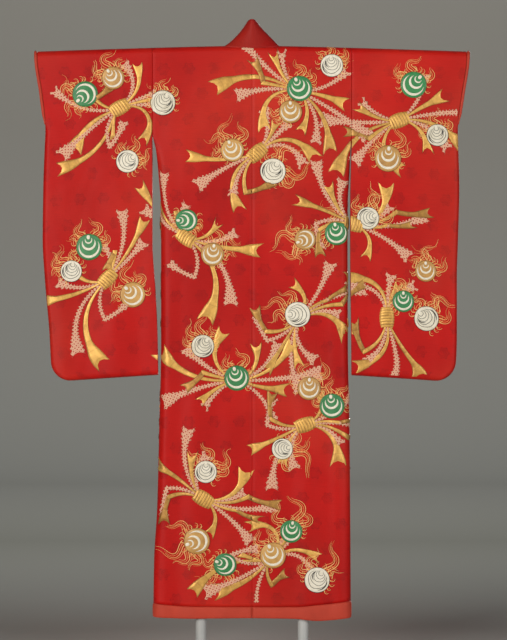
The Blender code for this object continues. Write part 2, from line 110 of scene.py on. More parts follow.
PLAIN_HEM = 0.050  # what is left without embroidery above the hem

# The grids of the panels: depths of the rows round the bar, a depth near the hem, the lengths that
# the grid's spacing divides, and where the side of the hem is.
ROUND_BAR = np.arange(0.0, QUARTER + 0.006, 0.0024)
NEAR_HEM = 1.7
BODY_RUN = 1.72
SLEEVE_RUN = 0.95
OKUMI_RUN = 1.45
HEM_HALF = 0.297

# Where the side of the body is at each depth: depth, left side, right side.
BODY_SIDES = (
    (0.00, 0.3000, 0.3000),
    (0.26, 0.3000, 0.3000),
    (0.32, 0.2880, 0.2960),
    (0.41, 0.2790, 0.2915),
    (0.50, 0.2730, 0.2870),
    (0.90, 0.2730, 0.2880),
    (1.17, 0.2790, 0.2930),
    (1.40, 0.2850, 0.2950),
    (1.55, 0.2940, 0.2960),
    (1.75, 0.2970, 0.2970),
)
# Where the outer edge of a sleeve is: depth, left sleeve, right sleeve.
SLEEVE_ENDS = (
    (0.00, 0.6470, 0.6470),
    (0.04, 0.6450, 0.6450),
    (0.14, 0.6300, 0.6300),
    (0.23, 0.6210, 0.6190),
    (0.30, 0.6240, 0.6210),
    (0.41, 0.6280, 0.6240),
    (0.57, 0.6300, 0.6200),
    (0.68, 0.6240, 0.6165),
    (0.86, 0.6090, 0.6165),
    (1.02, 0.6020, 0.6090),
)
# Where its inner edge is, beside the body.
SLEEVE_INNERS = (
    (0.00, 0.3000, 0.3000),
    (0.26, 0.3000, 0.3000),
    (0.45, 0.3000, 0.2965),
    (0.60, 0.3000, 0.2960),
    (0.74, 0.2910, 0.2970),
    (0.87, 0.2850, 0.2990),
    (1.02, 0.2820, 0.3000),
)
# The padded hem: x, its lowest edge above the nominal hem, its height.
HEM_ROWS = (
    (-0.30, 0.005, 0.042),
    (-0.20, 0.001, 0.037),
    (0.00, 0.002, 0.034),
    (0.13, 0.000, 0.036),
    (0.20, -0.006, 0.048),
    (0.30, 0.003, 0.051),
)
# Soft folds that stand out from the cloth: x at the shoulder, x at the hem, half width, height,
# depth where it begins, depth where it is full.
BACK_FOLDS = (
    (-0.235, -0.262, 0.020, 0.0040, 0.45, 1.10),
    (-0.165, -0.176, 0.032, 0.0055, 0.60, 1.45),
    (-0.060, -0.078, 0.026, 0.0030, 0.80, 1.60),
    (0.045, 0.062, 0.034, 0.0035, 0.70, 1.50),
    (0.150, 0.168, 0.030, 0.0050, 0.35, 1.35),
    (0.235, 0.262, 0.018, 0.0045, 0.55, 1.20),
)
FRONT_FOLDS = (
    (-0.215, -0.236, 0.028, 0.0045, 0.40, 1.20),
    (-0.110, -0.130, 0.036, 0.0040, 0.70, 1.50),
    (0.010, -0.015, 0.030, 0.0030, 0.90, 1.60),
    (0.120, 0.145, 0.034, 0.0045, 0.50, 1.40),
    (0.205, 0.232, 0.024, 0.0040, 0.40, 1.10),
)
SLEEVE_FOLDS = (
    (0.350, 0.340, 0.030, -0.0022, 0.28, 0.80),
    (0.430, 0.415, 0.034, 0.0024, 0.20, 0.90),
    (0.520, 0.505, 0.036, -0.0020, 0.30, 0.85),
    (0.590, 0.570, 0.024, 0.0020, 0.35, 0.80),
)
# The collar round the neck: station, x of its seam, turn of that seam round the bar, then its free
# edge: x, y for the left and for the right, height above the shoulder.
COLLAR_ROWS = (
    (0, 0.0000, -51.0, 0.0000, -0.0140, -0.0140, 0.0800),
    (1, 0.0360, -42.0, 0.0100, 0.0040, 0.0020, 0.0765),
    (2, 0.0640, -30.0, 0.0170, 0.0200, 0.0170, 0.0680),
    (3, 0.0770, -13.0, 0.0210, 0.0340, 0.0290, 0.0550),
    (4, 0.0802, 6.0, 0.0210, 0.0460, 0.0370, 0.0370),
    (5, 0.0783, 42.0, 0.0140, 0.0540, 0.0420, 0.0160),
    (6, 0.0766, 78.0, 0.0000, 0.0580, 0.0440, -0.0060),
)
COLLAR_BULGE = {-1: 0.000, 1: 0.004}
COLLAR_STANDOFF = {-1: (0.030, 0.070), 1: (0.018, 0.050)}
COLLAR_STEPS = 10
COLLAR_FIRST_DEPTH = 0.058  # of the first of these steps down the front
COLLAR_TURN_DEPTH = 0.024  # where the collar turns over the shoulder


def smooth(low, high, value):
    """0 up to low, 1 from high on, and an even curve between."""
    t = np.clip((value - low) / (high - low), 0.0, 1.0)
    return t * t * (3 - 2 * t)


def read(table, at, column):
    """A column of a table at places between its rows, on a curve that never passes beyond them."""
    rows = np.array(table, float)
    x, y = rows[:, 0], rows[:, column]
    rise = np.diff(y) / np.diff(x)
    before, after = rise[:-1], rise[1:]
    level = before * after <= 0
    inner = np.where(level, 0.0, 2 * before * after / np.where(level, 1.0, before + after))
    slope = np.concatenate([rise[:1], inner, rise[-1:]])
    i = np.clip(np.searchsorted(x, at) - 1, 0, len(x) - 2)
    width = x[i + 1] - x[i]
    t = np.clip((at - x[i]) / width, 0.0, 1.0)
    near = (1 + 2 * t) * (1 - t) ** 2 * y[i] + t * (1 - t) ** 2 * width * slope[i]
    return near + t * t * (3 - 2 * t) * y[i + 1] + t * t * (t - 1) * width * slope[i + 1]


def folds(table, x, depth, length):
    """The height of all the soft folds of a table."""
    total = np.zeros(np.broadcast(x, depth).shape)
    for top_x, low_x, half_width, height, begins, full in table:
        middle = top_x + (low_x - top_x) * depth / length
        total += height * smooth(begins, full, depth) * np.exp(-(((x - middle) / half_width) ** 2))
    return total


def cockle(x, depth):
    """The slight unevenness of wadded silk, a fraction of a millimetre to a millimetre high."""
    broad = np.sin(x * 31 + 2.2 * np.sin(depth * 5.3 + 0.7)) * np.sin(
        depth * 9.1 + 1.9 * np.sin(x * 11)
    )
    small = np.sin(x * 83 + 3.1 * np.sin(depth * 13 + x * 7)) * np.sin(
        depth * 37 + 2.6 * np.sin(x * 29)
    )
    return smooth(0.03, 0.15, depth) * (0.0009 * broad + 0.0004 * small)


def bar_height(x):
    """Height of the bar's middle, which falls a little towards its ends."""
    return BAR_Z - BAR_SLOPE * (np.abs(x) / 0.65) ** 1.3


def hang(x, depth, face, bulge):
    """Cloth over the bar. face is -1 behind and 1 in front, bulge its extra distance."""
    turn = np.clip(depth / FOLD_RADIUS, 0.0, math.pi / 2)
    below = np.maximum(depth - QUARTER, 0.0)
    y = face * (FOLD_RADIUS * np.sin(turn) + np.where(depth < QUARTER, 0.0, bulge))
    z = bar_height(x) + FOLD_RADIUS * np.cos(turn) - below
    return np.stack(np.broadcast_arrays(x, y, z), axis=-1)


def belly(x, depth):
    """How far the body's cloth stands out from the bar, less beside the armhole."""
    beside = 1 - smooth(0.20, 0.30, np.abs(x)) * (1 - smooth(0.25, 0.50, depth))
    return BELLY * smooth(0.05, 0.45, depth) * beside


def back_bulge(x, depth):
    """How far the back stands out: its belly, its folds and its unevenness."""
    waves = folds(BACK_FOLDS, x, depth, HEM_DEPTH) * (1 - smooth(0.27, 0.30, np.abs(x)))
    return belly(x, depth) + waves + cockle(x, depth)


def front_bulge(x, depth, side):
    """The left front lies over the right one."""
    lift = FRONT_LIFT * smooth(0.03, 0.15, depth) + HEM_LIFT * smooth(1.20, 1.60, depth)
    over = lift * smooth(-0.255, -0.165, x) if side < 0 else 0.0
    waves = folds(FRONT_FOLDS, x, depth, HEM_DEPTH) * (1 - smooth(0.26, 0.29, np.abs(x)))
    return belly(x, depth) + waves + over + cockle(x + 3, depth)


def side_x(side, depth):
    """Where the side of the body is, from the middle."""
    return read(BODY_SIDES, depth, 1 if side < 0 else 2) - SEAM


def collar_seam_x(depth):
    """Where a front meets the collar."""
    return NECK_HALF + (COLLAR_END_X - NECK_HALF) * depth / COLLAR_END_DEPTH


def okumi_seam_x(depth):
    """Where the gore meets the body's front."""
    top = collar_seam_x(OKUMI_TOP_DEPTH)
    down = (depth - OKUMI_TOP_DEPTH) / (HEM_DEPTH - OKUMI_TOP_DEPTH)
    return top + (OKUMI_SEAM_X - top) * down


def okumi_edge_x(depth):
    """Where the gore meets the collar, and lower down its own padded edge."""
    down = (depth - COLLAR_END_DEPTH) / (HEM_DEPTH - COLLAR_END_DEPTH)
    straight = COLLAR_END_X + (OKUMI_EDGE_X - COLLAR_END_X) * down
    return np.where(depth < COLLAR_END_DEPTH, collar_seam_x(depth), straight)


def inner_across(face, depth):
    """The edge of a body panel towards the centre."""
    if face < 0:
        neck = NECK_HALF * (1 - np.clip(depth / NECK_DROP, 0, 1) ** 3)
        return np.maximum(neck, SEAM)
    return np.where(depth < OKUMI_TOP_DEPTH, collar_seam_x(depth), okumi_seam_x(depth))


def turned(points, side, share, closing, edge_x, seam):
    """Turns cloth near a side seam round towards Y = 0. share is 0 where the turn begins and 1 at
    the seam, and closing is how much of the turn there is."""
    share = np.clip(share, 0.0, 1.0)
    angle = share * math.pi / 2
    round_x = side * (edge_x - SIDE_CURL + SIDE_CURL * np.sin(angle))
    face = np.sign(points[..., 1])
    round_y = face * (seam + (np.abs(points[..., 1]) - seam) * np.cos(angle))
    mix = np.where(share > 0, closing, 0.0)
    out = points.copy()
    out[..., 0] += (round_x - out[..., 0]) * mix
    out[..., 1] += (round_y - out[..., 1]) * mix
    return out


def dip(distance):
    """How far cloth sinks into the seam that it is sewn into."""
    return SEAM_DIP * np.exp(-((distance / SEAM_DIP_WIDTH) ** 2))


def body_place(side, face):
    """The hang of one body panel's back or front."""

    def place(across, depth):
        high = side_x(side, depth)
        start = high - SIDE_CURL
        share = np.clip((across - start) / (BODY_HALF - start), 0.0, 1.0)
        x = side * np.where(across < start, across, start + share * SIDE_CURL)
        bulge = back_bulge(x, depth) if face < 0 else front_bulge(x, depth, side)
        inner = inner_across(face, depth)
        bulge = bulge - dip(across - inner) * smooth(0.02, 0.05, depth) - dip(BODY_HALF - across)
        closing = smooth(ARMHOLE_DEPTH, SIDE_SEAM_DEPTH, depth)
        return turned(hang(x, depth, face, bulge), side, share, closing, high, FOLDED_SEAM)

    return place


def rounded(distance):
    """How open two layers are at a distance from a seam that joins them: 0 at it, 1 beyond."""
    return np.sqrt(np.clip(1 - (1 - np.clip(distance / SEAM_ROUND, 0, 1)) ** 2, 0, 1))


def sleeve_place(side, face):
    """The hang of one layer of a sleeve."""
    column = 1 if side < 0 else 2

    def place(across, depth):
        low = read(SLEEVE_INNERS, depth, column) + SEAM
        high = read(SLEEVE_ENDS, depth, column)
        corner = np.clip(depth - (SLEEVE_DROP - SLEEVE_CORNER), 0, SLEEVE_CORNER) / SLEEVE_CORNER
        high = high - SLEEVE_CORNER * (1 - np.sqrt(1 - corner**2))
        inwards = (BODY_HALF + SLEEVE_WIDTH - across) / SLEEVE_WIDTH
        x = high - (high - low) * inwards
        drop = SLEEVE_DROP + SLEEVE_TILT * (x - BODY_HALF) / SLEEVE_WIDTH
        down = depth / SLEEVE_DROP * drop
        sewn = smooth(CUFF_DEPTH, CUFF_DEPTH + 0.03, down)
        shut = np.minimum(rounded(drop - down), 1 - sewn * (1 - rounded((high - low) * inwards)))
        half = FOLD_RADIUS - SLEEVE_THINNING * smooth(0.05, 0.60, down)
        sway = folds(SLEEVE_FOLDS, x, down, SLEEVE_DROP) + cockle(side * x + 7, down)
        points = hang(side * x, down, face, 0.0)
        sunk = dip(across - BODY_HALF) * (1 - smooth(0.25, 0.30, down))
        y = face * (FOLDED_SEAM + (half - FOLDED_SEAM) * shut - sunk) - sway
        points[..., 1] = np.where(down < QUARTER, points[..., 1], y)
        return points

    return place


def okumi_place(side, face=1):
    """The hang of one front gore."""

    def place(across, depth):
        x = side * across
        bulge = front_bulge(x, depth, side) - dip(okumi_seam_x(depth) - across)
        return hang(x, depth, face, bulge)

    return place


def collar_depth(step):
    """Depth of a station on the front, of which the lower ones are further apart."""
    share = (step - 1) / (COLLAR_STEPS - 1)
    return COLLAR_FIRST_DEPTH + (COLLAR_END_DEPTH - COLLAR_FIRST_DEPTH) * share**1.4


def collar_point(side, station, across):
    """A point of the collar. station counts the rows of COLLAR_ROWS from the centre back, then runs
    on down the front; across is 0 at the seam and 1 at the free edge."""
    last = len(COLLAR_ROWS) - 1
    if station <= last:
        _, seam_x, turn, edge_x, edge_left, edge_right, edge_up = COLLAR_ROWS[station]
        angle = math.radians(turn)
        radius = FOLD_RADIUS + COLLAR_CLOTH / 2
        seam_z = bar_height(seam_x) + radius * math.cos(angle)
        seam = Vector((side * seam_x, radius * math.sin(angle), seam_z))
        edge = Vector((side * edge_x, edge_left if side < 0 else edge_right, FOLD_TOP_Z + edge_up))
        bulge = COLLAR_BULGE[side] * math.sin(math.pi * across) * min(station, 3) / 3
        return seam.lerp(edge, across) + Vector((side * bulge, 0, bulge * 0.6))
    depth = collar_depth(station - last)
    slope = math.atan2(NECK_HALF - COLLAR_END_X, COLLAR_END_DEPTH)
    clear = GAP + COLLAR_CLOTH / 2 * (1 - smooth(0.02, 0.20, depth))
    x = collar_seam_x(depth) - clear - COLLAR_WIDTH * across * math.cos(slope)
    straight = smooth(0, 0.12, COLLAR_END_DEPTH - depth)
    level = depth - COLLAR_WIDTH * across * math.sin(slope) * straight
    height, reach = COLLAR_STANDOFF[side]
    standoff = height * math.exp(-(depth - COLLAR_TURN_DEPTH) / reach) * across
    bulge = front_bulge(np.float64(side * x), max(depth, QUARTER), side)
    return Vector(hang(side * x, max(level, QUARTER), 1, bulge + standoff))


def hem_top_depth(x):
    """Depth at which a panel goes into the padded hem."""
    top = HEM_Z + read(HEM_ROWS, x, 1) + read(HEM_ROWS, x, 2)
    return QUARTER + bar_height(x) - top + TUCK


# ---- the design that is embroidered --------------------------------------------------------------

# Bunches of ribbons, each bound by a knot. A ribbon: its work, the direction in which it leaves the
# knot, the one in which it ends, its length, its width at the end, and the turn of a fold in it.
# Directions are in degrees from the knot's own axis.
BUNCHES = {
    "A": (
        ("kanoko", 20, 105, 0.135, 0.024, 0),
        ("gold", 10, 75, 0.130, 0.022, 0),
        ("kanoko", -4, -12, 0.100, 0.020, 0),
        ("gold", -12, -18, 0.090, 0.016, 0),
        ("kanoko", -22, -30, 0.085, 0.018, 0),
        ("gold", -22, -150, 0.150, 0.024, 0),
        ("kanoko", 158, 108, 0.190, 0.020, 0),
        ("gold", 174, 212, 0.165, 0.036, 0),
        ("kanoko", 187, 200, 0.200, 0.032, 0),
        ("gold", 226, 166, 0.240, 0.028, 0),
        ("kanoko", 208, 262, 0.185, 0.026, 118),
        ("gold", 232, 244, 0.075, 0.020, 0),
        ("gold", 138, 96, 0.110, 0.028, -105),
    ),
    "B": (
        ("kanoko", 20, 66, 0.115, 0.024, 0),
        ("gold", 10, 36, 0.085, 0.022, 0),
        ("kanoko", 2, 10, 0.110, 0.026, 0),
        ("gold", -2, -96, 0.175, 0.030, 0),
        ("kanoko", -12, -104, 0.150, 0.024, 0),
        ("gold", 152, 132, 0.185, 0.026, 0),
        ("kanoko", 162, 180, 0.185, 0.032, 0),
        ("gold", 172, 250, 0.175, 0.028, 0),
        ("kanoko", 184, 224, 0.130, 0.024, 0),
        ("gold", 194, 240, 0.190, 0.028, 84),
    ),
    "C": (
        ("kanoko", 164, 148, 0.215, 0.034, 0),
        ("gold", 172, 224, 0.235, 0.034, 0),
        ("kanoko", 196, 216, 0.165, 0.030, 0),
        ("gold", 206, 304, 0.160, 0.028, 0),
        ("gold", 186, 196, 0.150, 0.030, -70),
        ("kanoko", 25, 66, 0.145, 0.022, 0),
        ("gold", 12, 2, 0.125, 0.030, 0),
        ("kanoko", -8, -18, 0.235, 0.034, 0),
        ("gold", -20, -66, 0.190, 0.030, 0),
        ("kanoko", -30, -78, 0.155, 0.024, 0),
        ("gold", -42, -100, 0.110, 0.024, 0),
        ("kanoko", 142, 114, 0.105, 0.020, 0),
        ("gold", 152, 132, 0.105, 0.022, 0),
    ),
    "D": (
        ("gold", 32, 108, 0.150, 0.034, 0),
        ("kanoko", 26, 70, 0.110, 0.022, 0),
        ("gold", 20, 52, 0.205, 0.028, -52),
        ("kanoko", 12, 46, 0.205, 0.028, 0),
        ("gold", 6, 30, 0.150, 0.022, -26),
        ("kanoko", -2, -26, 0.175, 0.028, 0),
        ("gold", -14, -92, 0.100, 0.024, 0),
        ("kanoko", 156, 112, 0.205, 0.028, 0),
        ("gold", 150, 120, 0.115, 0.024, 0),
        ("kanoko", 142, 84, 0.125, 0.028, 0),
        ("gold", 170, 178, 0.155, 0.024, 0),
        ("kanoko", 182, 222, 0.165, 0.024, 66),
        ("gold", 194, 240, 0.155, 0.030, 44),
    ),
    "E": (
        ("kanoko", 34, 88, 0.090, 0.024, 0),
        ("gold", 26, 46, 0.115, 0.030, 148),
        ("kanoko", 15, 56, 0.195, 0.026, 0),
        ("gold", 5, 20, 0.185, 0.024, 0),
        ("kanoko", -4, 8, 0.135, 0.028, 0),
        ("gold", 140, 92, 0.085, 0.022, 0),
        ("kanoko", 156, 112, 0.135, 0.024, 0),
        ("gold", 160, 144, 0.195, 0.030, 0),
        ("kanoko", 172, 236, 0.235, 0.030, 0),
        ("gold", 184, 262, 0.255, 0.036, 0),
        ("kanoko", 202, 256, 0.185, 0.024, 84),
    ),
}
# Where each knot is: x, distance below the shoulder, axis in degrees, bunch, and -1 for one that is
# turned over.
KNOTS = (
    (-0.400, 0.189, 28, "A", 1),
    (-0.436, 0.701, 45, "E", 1),
    (0.136, 0.137, -20, "C", 1),
    (0.015, 0.325, 40, "B", 1),
    (-0.197, 0.581, 145, "E", -1),
    (0.304, 0.538, -18, "D", 1),
    (0.140, 0.826, 50, "D", -1),
    (-0.045, 1.010, -6, "C", -1),
    (0.442, 0.226, 20, "C", 1),
    (0.406, 0.818, 90, "B", -1),
    (0.158, 1.143, 18, "D", -1),
    (-0.147, 1.365, -32, "D", 1),
    (0.056, 1.548, 40, "A", -1),
)
# The jewels: x, distance below the shoulder, work, diameter, direction of the tip, direction of the
# flames, and their reach.
JEWELS = (
    (-0.502, 0.147, "green", 0.078, 222, 190, 0.060),
    (-0.418, 0.099, "gold", 0.069, 125, 112, 0.062),
    (-0.375, 0.349, "white", 0.069, 35, 38, 0.050),
    (-0.268, 0.174, "white", 0.076, 62, 96, 0.045),
    (-0.490, 0.604, "green", 0.080, 95, 84, 0.055),
    (-0.544, 0.675, "white", 0.065, 78, 118, 0.060),
    (-0.359, 0.750, "gold", 0.077, 135, 120, 0.062),
    (0.240, 0.062, "white", 0.069, 95, 70, 0.040),
    (0.143, 0.131, "green", 0.078, 112, 104, 0.050),
    (0.116, 0.201, "gold", 0.070, 92, 150, 0.045),
    (-0.059, 0.317, "gold", 0.070, 112, 122, 0.075),
    (0.063, 0.380, "white", 0.078, 60, 22, 0.080),
    (-0.197, 0.528, "green", 0.068, 180, 258, 0.040),
    (-0.119, 0.630, "gold", 0.070, 80, 42, 0.065),
    (0.160, 0.585, "gold", 0.064, 202, 186, 0.080),
    (0.254, 0.567, "green", 0.072, 100, 136, 0.070),
    (0.137, 0.811, "white", 0.077, 180, 172, 0.072),
    (-0.148, 0.906, "white", 0.069, 55, 96, 0.060),
    (-0.046, 1.002, "green", 0.077, 105, 78, 0.050),
    (0.172, 1.033, "gold", 0.070, 90, 74, 0.070),
    (0.240, 1.086, "green", 0.076, 95, 100, 0.045),
    (0.091, 1.215, "white", 0.064, 12, -18, 0.085),
    (-0.139, 1.284, "white", 0.068, 90, 64, 0.070),
    (0.118, 1.463, "green", 0.069, 80, 92, 0.085),
    (0.063, 1.535, "gold", 0.078, 112, 138, 0.065),
    (-0.166, 1.492, "gold", 0.079, 200, 196, 0.085),
    (-0.081, 1.563, "green", 0.070, 160, 208, 0.070),
    (0.196, 1.609, "white", 0.077, 60, 66, 0.070),
    (0.486, 0.119, "green", 0.080, 50, 92, 0.060),
    (0.558, 0.269, "white", 0.066, 100, 100, 0.050),
    (0.409, 0.340, "gold", 0.080, 85, 88, 0.065),
    (0.349, 0.520, "white", 0.068, 20, 62, 0.075),
    (0.523, 0.675, "gold", 0.064, 90, 82, 0.070),
    (0.455, 0.767, "green", 0.066, 90, 124, 0.055),
    (0.525, 0.817, "white", 0.075, 140, 52, 0.070),
)
SEED = 20  # of the small differences between one drawing and the next
RISE = 0.0005  # the lowest embroidery above the cloth, so that no fold of it comes through
LAYER = 0.00014  # how much higher each ribbon of a bunch is than the last
SUNK = -0.0004  # the rim of a work, which goes into the cloth
LINE = 0.0005  # radius of the cord round a ribbon
JEWEL_LINE = 0.0007  # of the one round a jewel
FLAME = 0.00135  # of a flame's cords where they leave the jewel
HOOK = 0.0013  # of those of a small flame
# The two kinds of ribbon: spacing of its points, half width at the knot, share of its width further
# on, how far its edges go in and out, and how far the corners of its end run on.
RIBBONS = {
    "gold": (0.0058, 0.0034, 0.40, 0.0, 0.024),
    "kanoko": (0.0048, 0.0038, 0.36, 0.0032, 0.015),
}
JEWEL_BASE, JEWEL_TOP = 0.0026, 0.0040  # heights of a jewel's ground and of the work on it


def grid_faces(rows, columns):
    """The quads between the points of a grid."""
    index = np.arange(rows * columns).reshape(rows, columns)
    corners = (index[:-1, :-1], index[:-1, 1:], index[1:, 1:], index[1:, :-1])
    return np.stack(corners, axis=-1).reshape(-1, 4)


def heading(points):
    """Unit vectors along a line of points."""
    step = np.gradient(points, axis=0)
    return step / np.maximum(np.linalg.norm(step, axis=1, keepdims=True), 1e-9)


def distances(points):
    """How far along a line each of its points is."""
    return np.concatenate([[0], np.cumsum(np.linalg.norm(np.diff(points, axis=0), axis=1))])


def beside(ahead):
    """Flat unit vectors a quarter turn to the left of others."""
    return np.stack([-ahead[:, 1], ahead[:, 0]], axis=1)


def pointing(angles):
    """Flat unit vectors at angles in radians."""
    return np.stack([np.cos(angles), np.sin(angles)], axis=-1)


def placed(middle, turn, x, y):
    """Flat points at x and y from a middle, measured along turned axes."""
    c, s = math.cos(turn), math.sin(turn)
    return np.stack([middle[0] + c * x - s * y, middle[1] + s * x + c * y], axis=-1)


def sweep(start, angles, length):
    """A line whose direction at each of its points is given, in radians."""
    moves = pointing((angles[1:] + angles[:-1]) / 2) * length / (len(angles) - 1)
    return np.concatenate([[start], start + np.cumsum(moves, axis=0)])


class Drawing:
    """Flat embroidery: faces with a material each, and the threads that outline them. A point is
    across, height up the cloth, and height above it. skin holds, for each point, two metres of the
    work's own pattern; tone holds its place from edge to edge, and how light it is."""

    WORKS = ("gold", "kanoko", "green", "gold_disc", "ivory", "line")

    def __init__(self):
        self.points, self.skin, self.tone, self.faces, self.works = [], [], [], [], []
        self.count = 0
        self.threads = []  # (work, points, radii)

    def grid(self, work, flat, height, skin, tone):
        """A grid of points, rows by columns, as quads."""
        rows, columns = flat.shape[:2]
        quads = grid_faces(rows, columns) + self.count
        point = (flat[..., 0], flat[..., 1], height)
        for kept, values in ((self.points, point), (self.skin, skin), (self.tone, tone)):
            whole = [np.broadcast_to(value, (rows, columns)) for value in values]
            kept.append(np.stack(whole, axis=-1).reshape(rows * columns, len(whole)))
        self.faces.append(quads)
        self.works.append(np.full(len(quads), self.WORKS.index(work)))
        self.count += rows * columns

    def thread(self, work, line, radii, height):
        """A couched thread along a flat line."""
        points = np.concatenate([line, np.broadcast_to(height, (len(line),))[:, None]], axis=1)
        self.threads.append((work, points, np.broadcast_to(radii, (len(line),))))


def strip(drawing, work, line, half, base, light, flare):
    """One stretch of ribbon. half is its half width at each point, and flare how far each corner of
    its end runs on."""
    along = distances(line)
    ahead = heading(line)
    shares = np.array([-1.0, -0.93, -0.5, 0.0, 0.5, 0.93, 1.0])
    saw = RIBBONS[work][3] * (1 - 2 * (np.arange(len(line)) % 2))
    reach = half[:, None] * shares + saw[:, None] * shares**3
    late = smooth(0.0, 1.0, (along - (along[-1] - 0.03)) / 0.03)
    run_on = np.where(shares < 0, *flare) * late[:, None] * shares**2
    out_by = beside(ahead)[:, None] * reach[..., None]
    flat = line[:, None] + out_by + ahead[:, None] * run_on[..., None]
    height = np.where(np.abs(shares) == 1, SUNK, base + 0.0006 * (1 - shares**4))
    height = np.tile(height, (len(line), 1))
    height[[0, -1]] = np.minimum(height[[0, -1]], base * 0.3)
    drawing.grid(work, flat, height, (reach, along[:, None]), (shares, light))
    if work == "gold":
        for column in (1, 5):
            drawing.thread("outline", flat[:, column], LINE, base + 0.0001)


def ribbon(drawing, rng, start, turn, row, mirror, order):
    """A ribbon from a knot. Its direction swings evenly from the first to the last, and a folded
    one turns back over itself and shows its darker side."""
    work, leave, arrive, length, width, fold = row
    spacing, narrow, broad, _, long = RIBBONS[work]
    base = RISE + LAYER * order
    first = math.radians(turn + mirror * leave)
    last = math.radians(turn + mirror * (arrive + rng.uniform(-6, 6)))
    cut = 0.62 if fold else 1.0
    t = np.linspace(0, 1, max(4, int(length * cut / spacing)) + 1)
    angles = first + (last - first) * (0.35 * t + 0.65 * smooth(0, 1, t))
    line = sweep(start, angles, length * cut)
    half = narrow + (width * broad - narrow) * (t * cut) ** 1.4
    flare = (0.0, 0.0)
    if not fold:
        flare = (long * rng.uniform(0.5, 1.1), long * rng.uniform(0.5, 1.1))
        half = half + width * 0.34 * smooth(0.72, 1.0, t)
    light = rng.uniform(0.55, 1.0)
    strip(drawing, work, line, half, base, light, flare)
    if not fold:
        return
    t = np.linspace(0, 1, max(4, int(length * 0.44 / spacing)) + 1)
    angles = last + math.radians(mirror * fold) + math.radians(mirror * 24) * t
    line = sweep(line[-1] - 0.2 * width * heading(line)[-1], angles, length * 0.46)
    half = half[-1] + width * 0.30 * smooth(0.50, 1.0, t)
    flare = (long * rng.uniform(0.4, 1.0), long * rng.uniform(0.4, 1.0))
    strip(drawing, work, line, half, base + 0.0005, light * 0.35, flare)


def knot(drawing, middle, turn):
    """Gold thread wound round the bunch: a barrel of turns that lean a little, each turn painted
    lighter at its crest and darker in the grooves between turns as painted shade.
    """
    length, width, turns, base = 0.060, 0.044, 7, 0.0016
    a = np.linspace(-1, 1, turns * 6 + 1)[:, None]
    b = np.linspace(-1, 1, 11)[None, :]
    lean = a + 0.10 * b
    ridge = np.abs(np.sin(math.pi * turns * (lean + 1) / 2))
    barrel = 1 - 0.22 * a**2 + 0.05 * ridge
    body = np.sqrt(np.clip(1 - b**2, 0, 1)) * np.sqrt(np.clip(1.04 - a**2, 0, 1))
    height = np.where(np.abs(b) == 1, SUNK, base + (0.0022 + 0.0011 * ridge) * body)
    local_x = a * length / 2 + 0.0022 * (1 - b**2)
    local_y = b * width / 2 * barrel
    flat = placed(middle, turn, local_x, local_y)
    # Painted shade: the tone darkens each turn towards the grooves between turns.
    drawing.grid("gold", flat, height, (local_y, lean * length / 2), (b, 0.45 + 0.5 * ridge))
    for at in range(6, turns * 6, 6):
        drawing.thread("outline", flat[at], LINE, height[at] + 0.0002)


def ring_of(middle, radius, angles):
    """Points round a middle, for arrays of radii and angles."""
    reach, angles = np.broadcast_arrays(radius, angles)
    return middle + reach[..., None] * pointing(angles)


def crescent(drawing, work, middle, radius, thick, turn, spread, light):
    """A crescent on a jewel, thickest opposite the tip, with points that run towards it."""
    t = np.linspace(-1, 1, 25)
    angles = (turn + math.pi + t * spread)[:, None]
    width = thick * np.clip(1 - np.abs(t) ** 2.2, 0.02, 1)
    shares = np.array([-1.0, -0.6, 0.0, 0.6, 1.0])
    reach = radius + width[:, None] * shares / 2
    height = JEWEL_TOP + 0.0005 * (1 - shares**2) - np.where(np.abs(shares) == 1, 0.0012, 0)
    flat = ring_of(middle, reach, angles)
    drawing.grid(work, flat, height, (reach, angles * radius), (shares, light))


def dome(drawing, work, middle, radii, turn, base, rise, light):
    """A low dome on an oval, drawn on a square grid that is bent round, so it has no pole."""
    line = np.array([-1.0, -0.94, *np.linspace(-0.84, 0.84, 13), 0.94, 1.0])
    u, v = np.meshgrid(line, line)
    x = radii[0] * u * np.sqrt(1 - v**2 / 2)
    y = radii[1] * v * np.sqrt(1 - u**2 / 2)
    flat = placed(middle, turn, x, y)
    out = np.maximum(np.abs(u), np.abs(v))
    height = np.where(out == 1, SUNK, base + rise * (1 - out**2))
    drawing.grid(work, flat, height, (flat[..., 0], flat[..., 1]), (out, light))


def jewel(drawing, rng, middle, work, diameter, tip):
    """A round jewel of laid silk, with a bright drop at its tip and crescents nested round it."""
    radius = diameter / 2
    ground = {"green": "green", "gold": "gold_disc", "white": "ivory"}[work]
    dome(drawing, ground, middle, (radius, radius), 0.0, JEWEL_BASE, 0.0012, rng.uniform(0.6, 1.0))
    ahead = pointing(tip)
    tip_point = middle + ahead * radius * 0.80
    edge = ring_of(middle, radius * 0.985, np.linspace(0, 2 * math.pi, 41))
    drawing.thread("line" if work == "white" else "outline", edge, JEWEL_LINE, JEWEL_BASE + 0.0001)
    if work == "white":
        t = np.linspace(-1, 1, 26)
        for share in (0.20, 0.33, 0.46, 0.60, 0.74):
            wave = 1 + 0.035 * np.sin(t * 9 + share * 20)
            bend = tip + math.pi + t * (2.5 - 0.35 * share)
            line = ring_of(tip_point - ahead * radius * share, radius * share * wave, bend)
            drawing.thread("line", line, 0.0008 * (1 - 0.7 * np.abs(t) ** 3), JEWEL_TOP - 0.0004)
        for share in (0.52, 0.80):
            centre = tip_point - ahead * radius * share
            turn = tip + math.radians(70 * rng.choice((-1, 1)))
            crescent(drawing, "line", centre, radius * share, radius * 0.10, turn, 0.7, 0.5)
    else:
        for share, thick in ((0.25, 0.15), (0.48, 0.24), (0.76, 0.21)):
            centre = tip_point - ahead * radius * share
            crescent(drawing, "ivory", centre, radius * share, radius * thick, tip, 2.05, 0.95)
    drop = tip_point - ahead * radius * 0.06
    dome(drawing, "ivory", drop, (radius * 0.17, radius * 0.13), tip, JEWEL_TOP, 0.0008, 0.9)


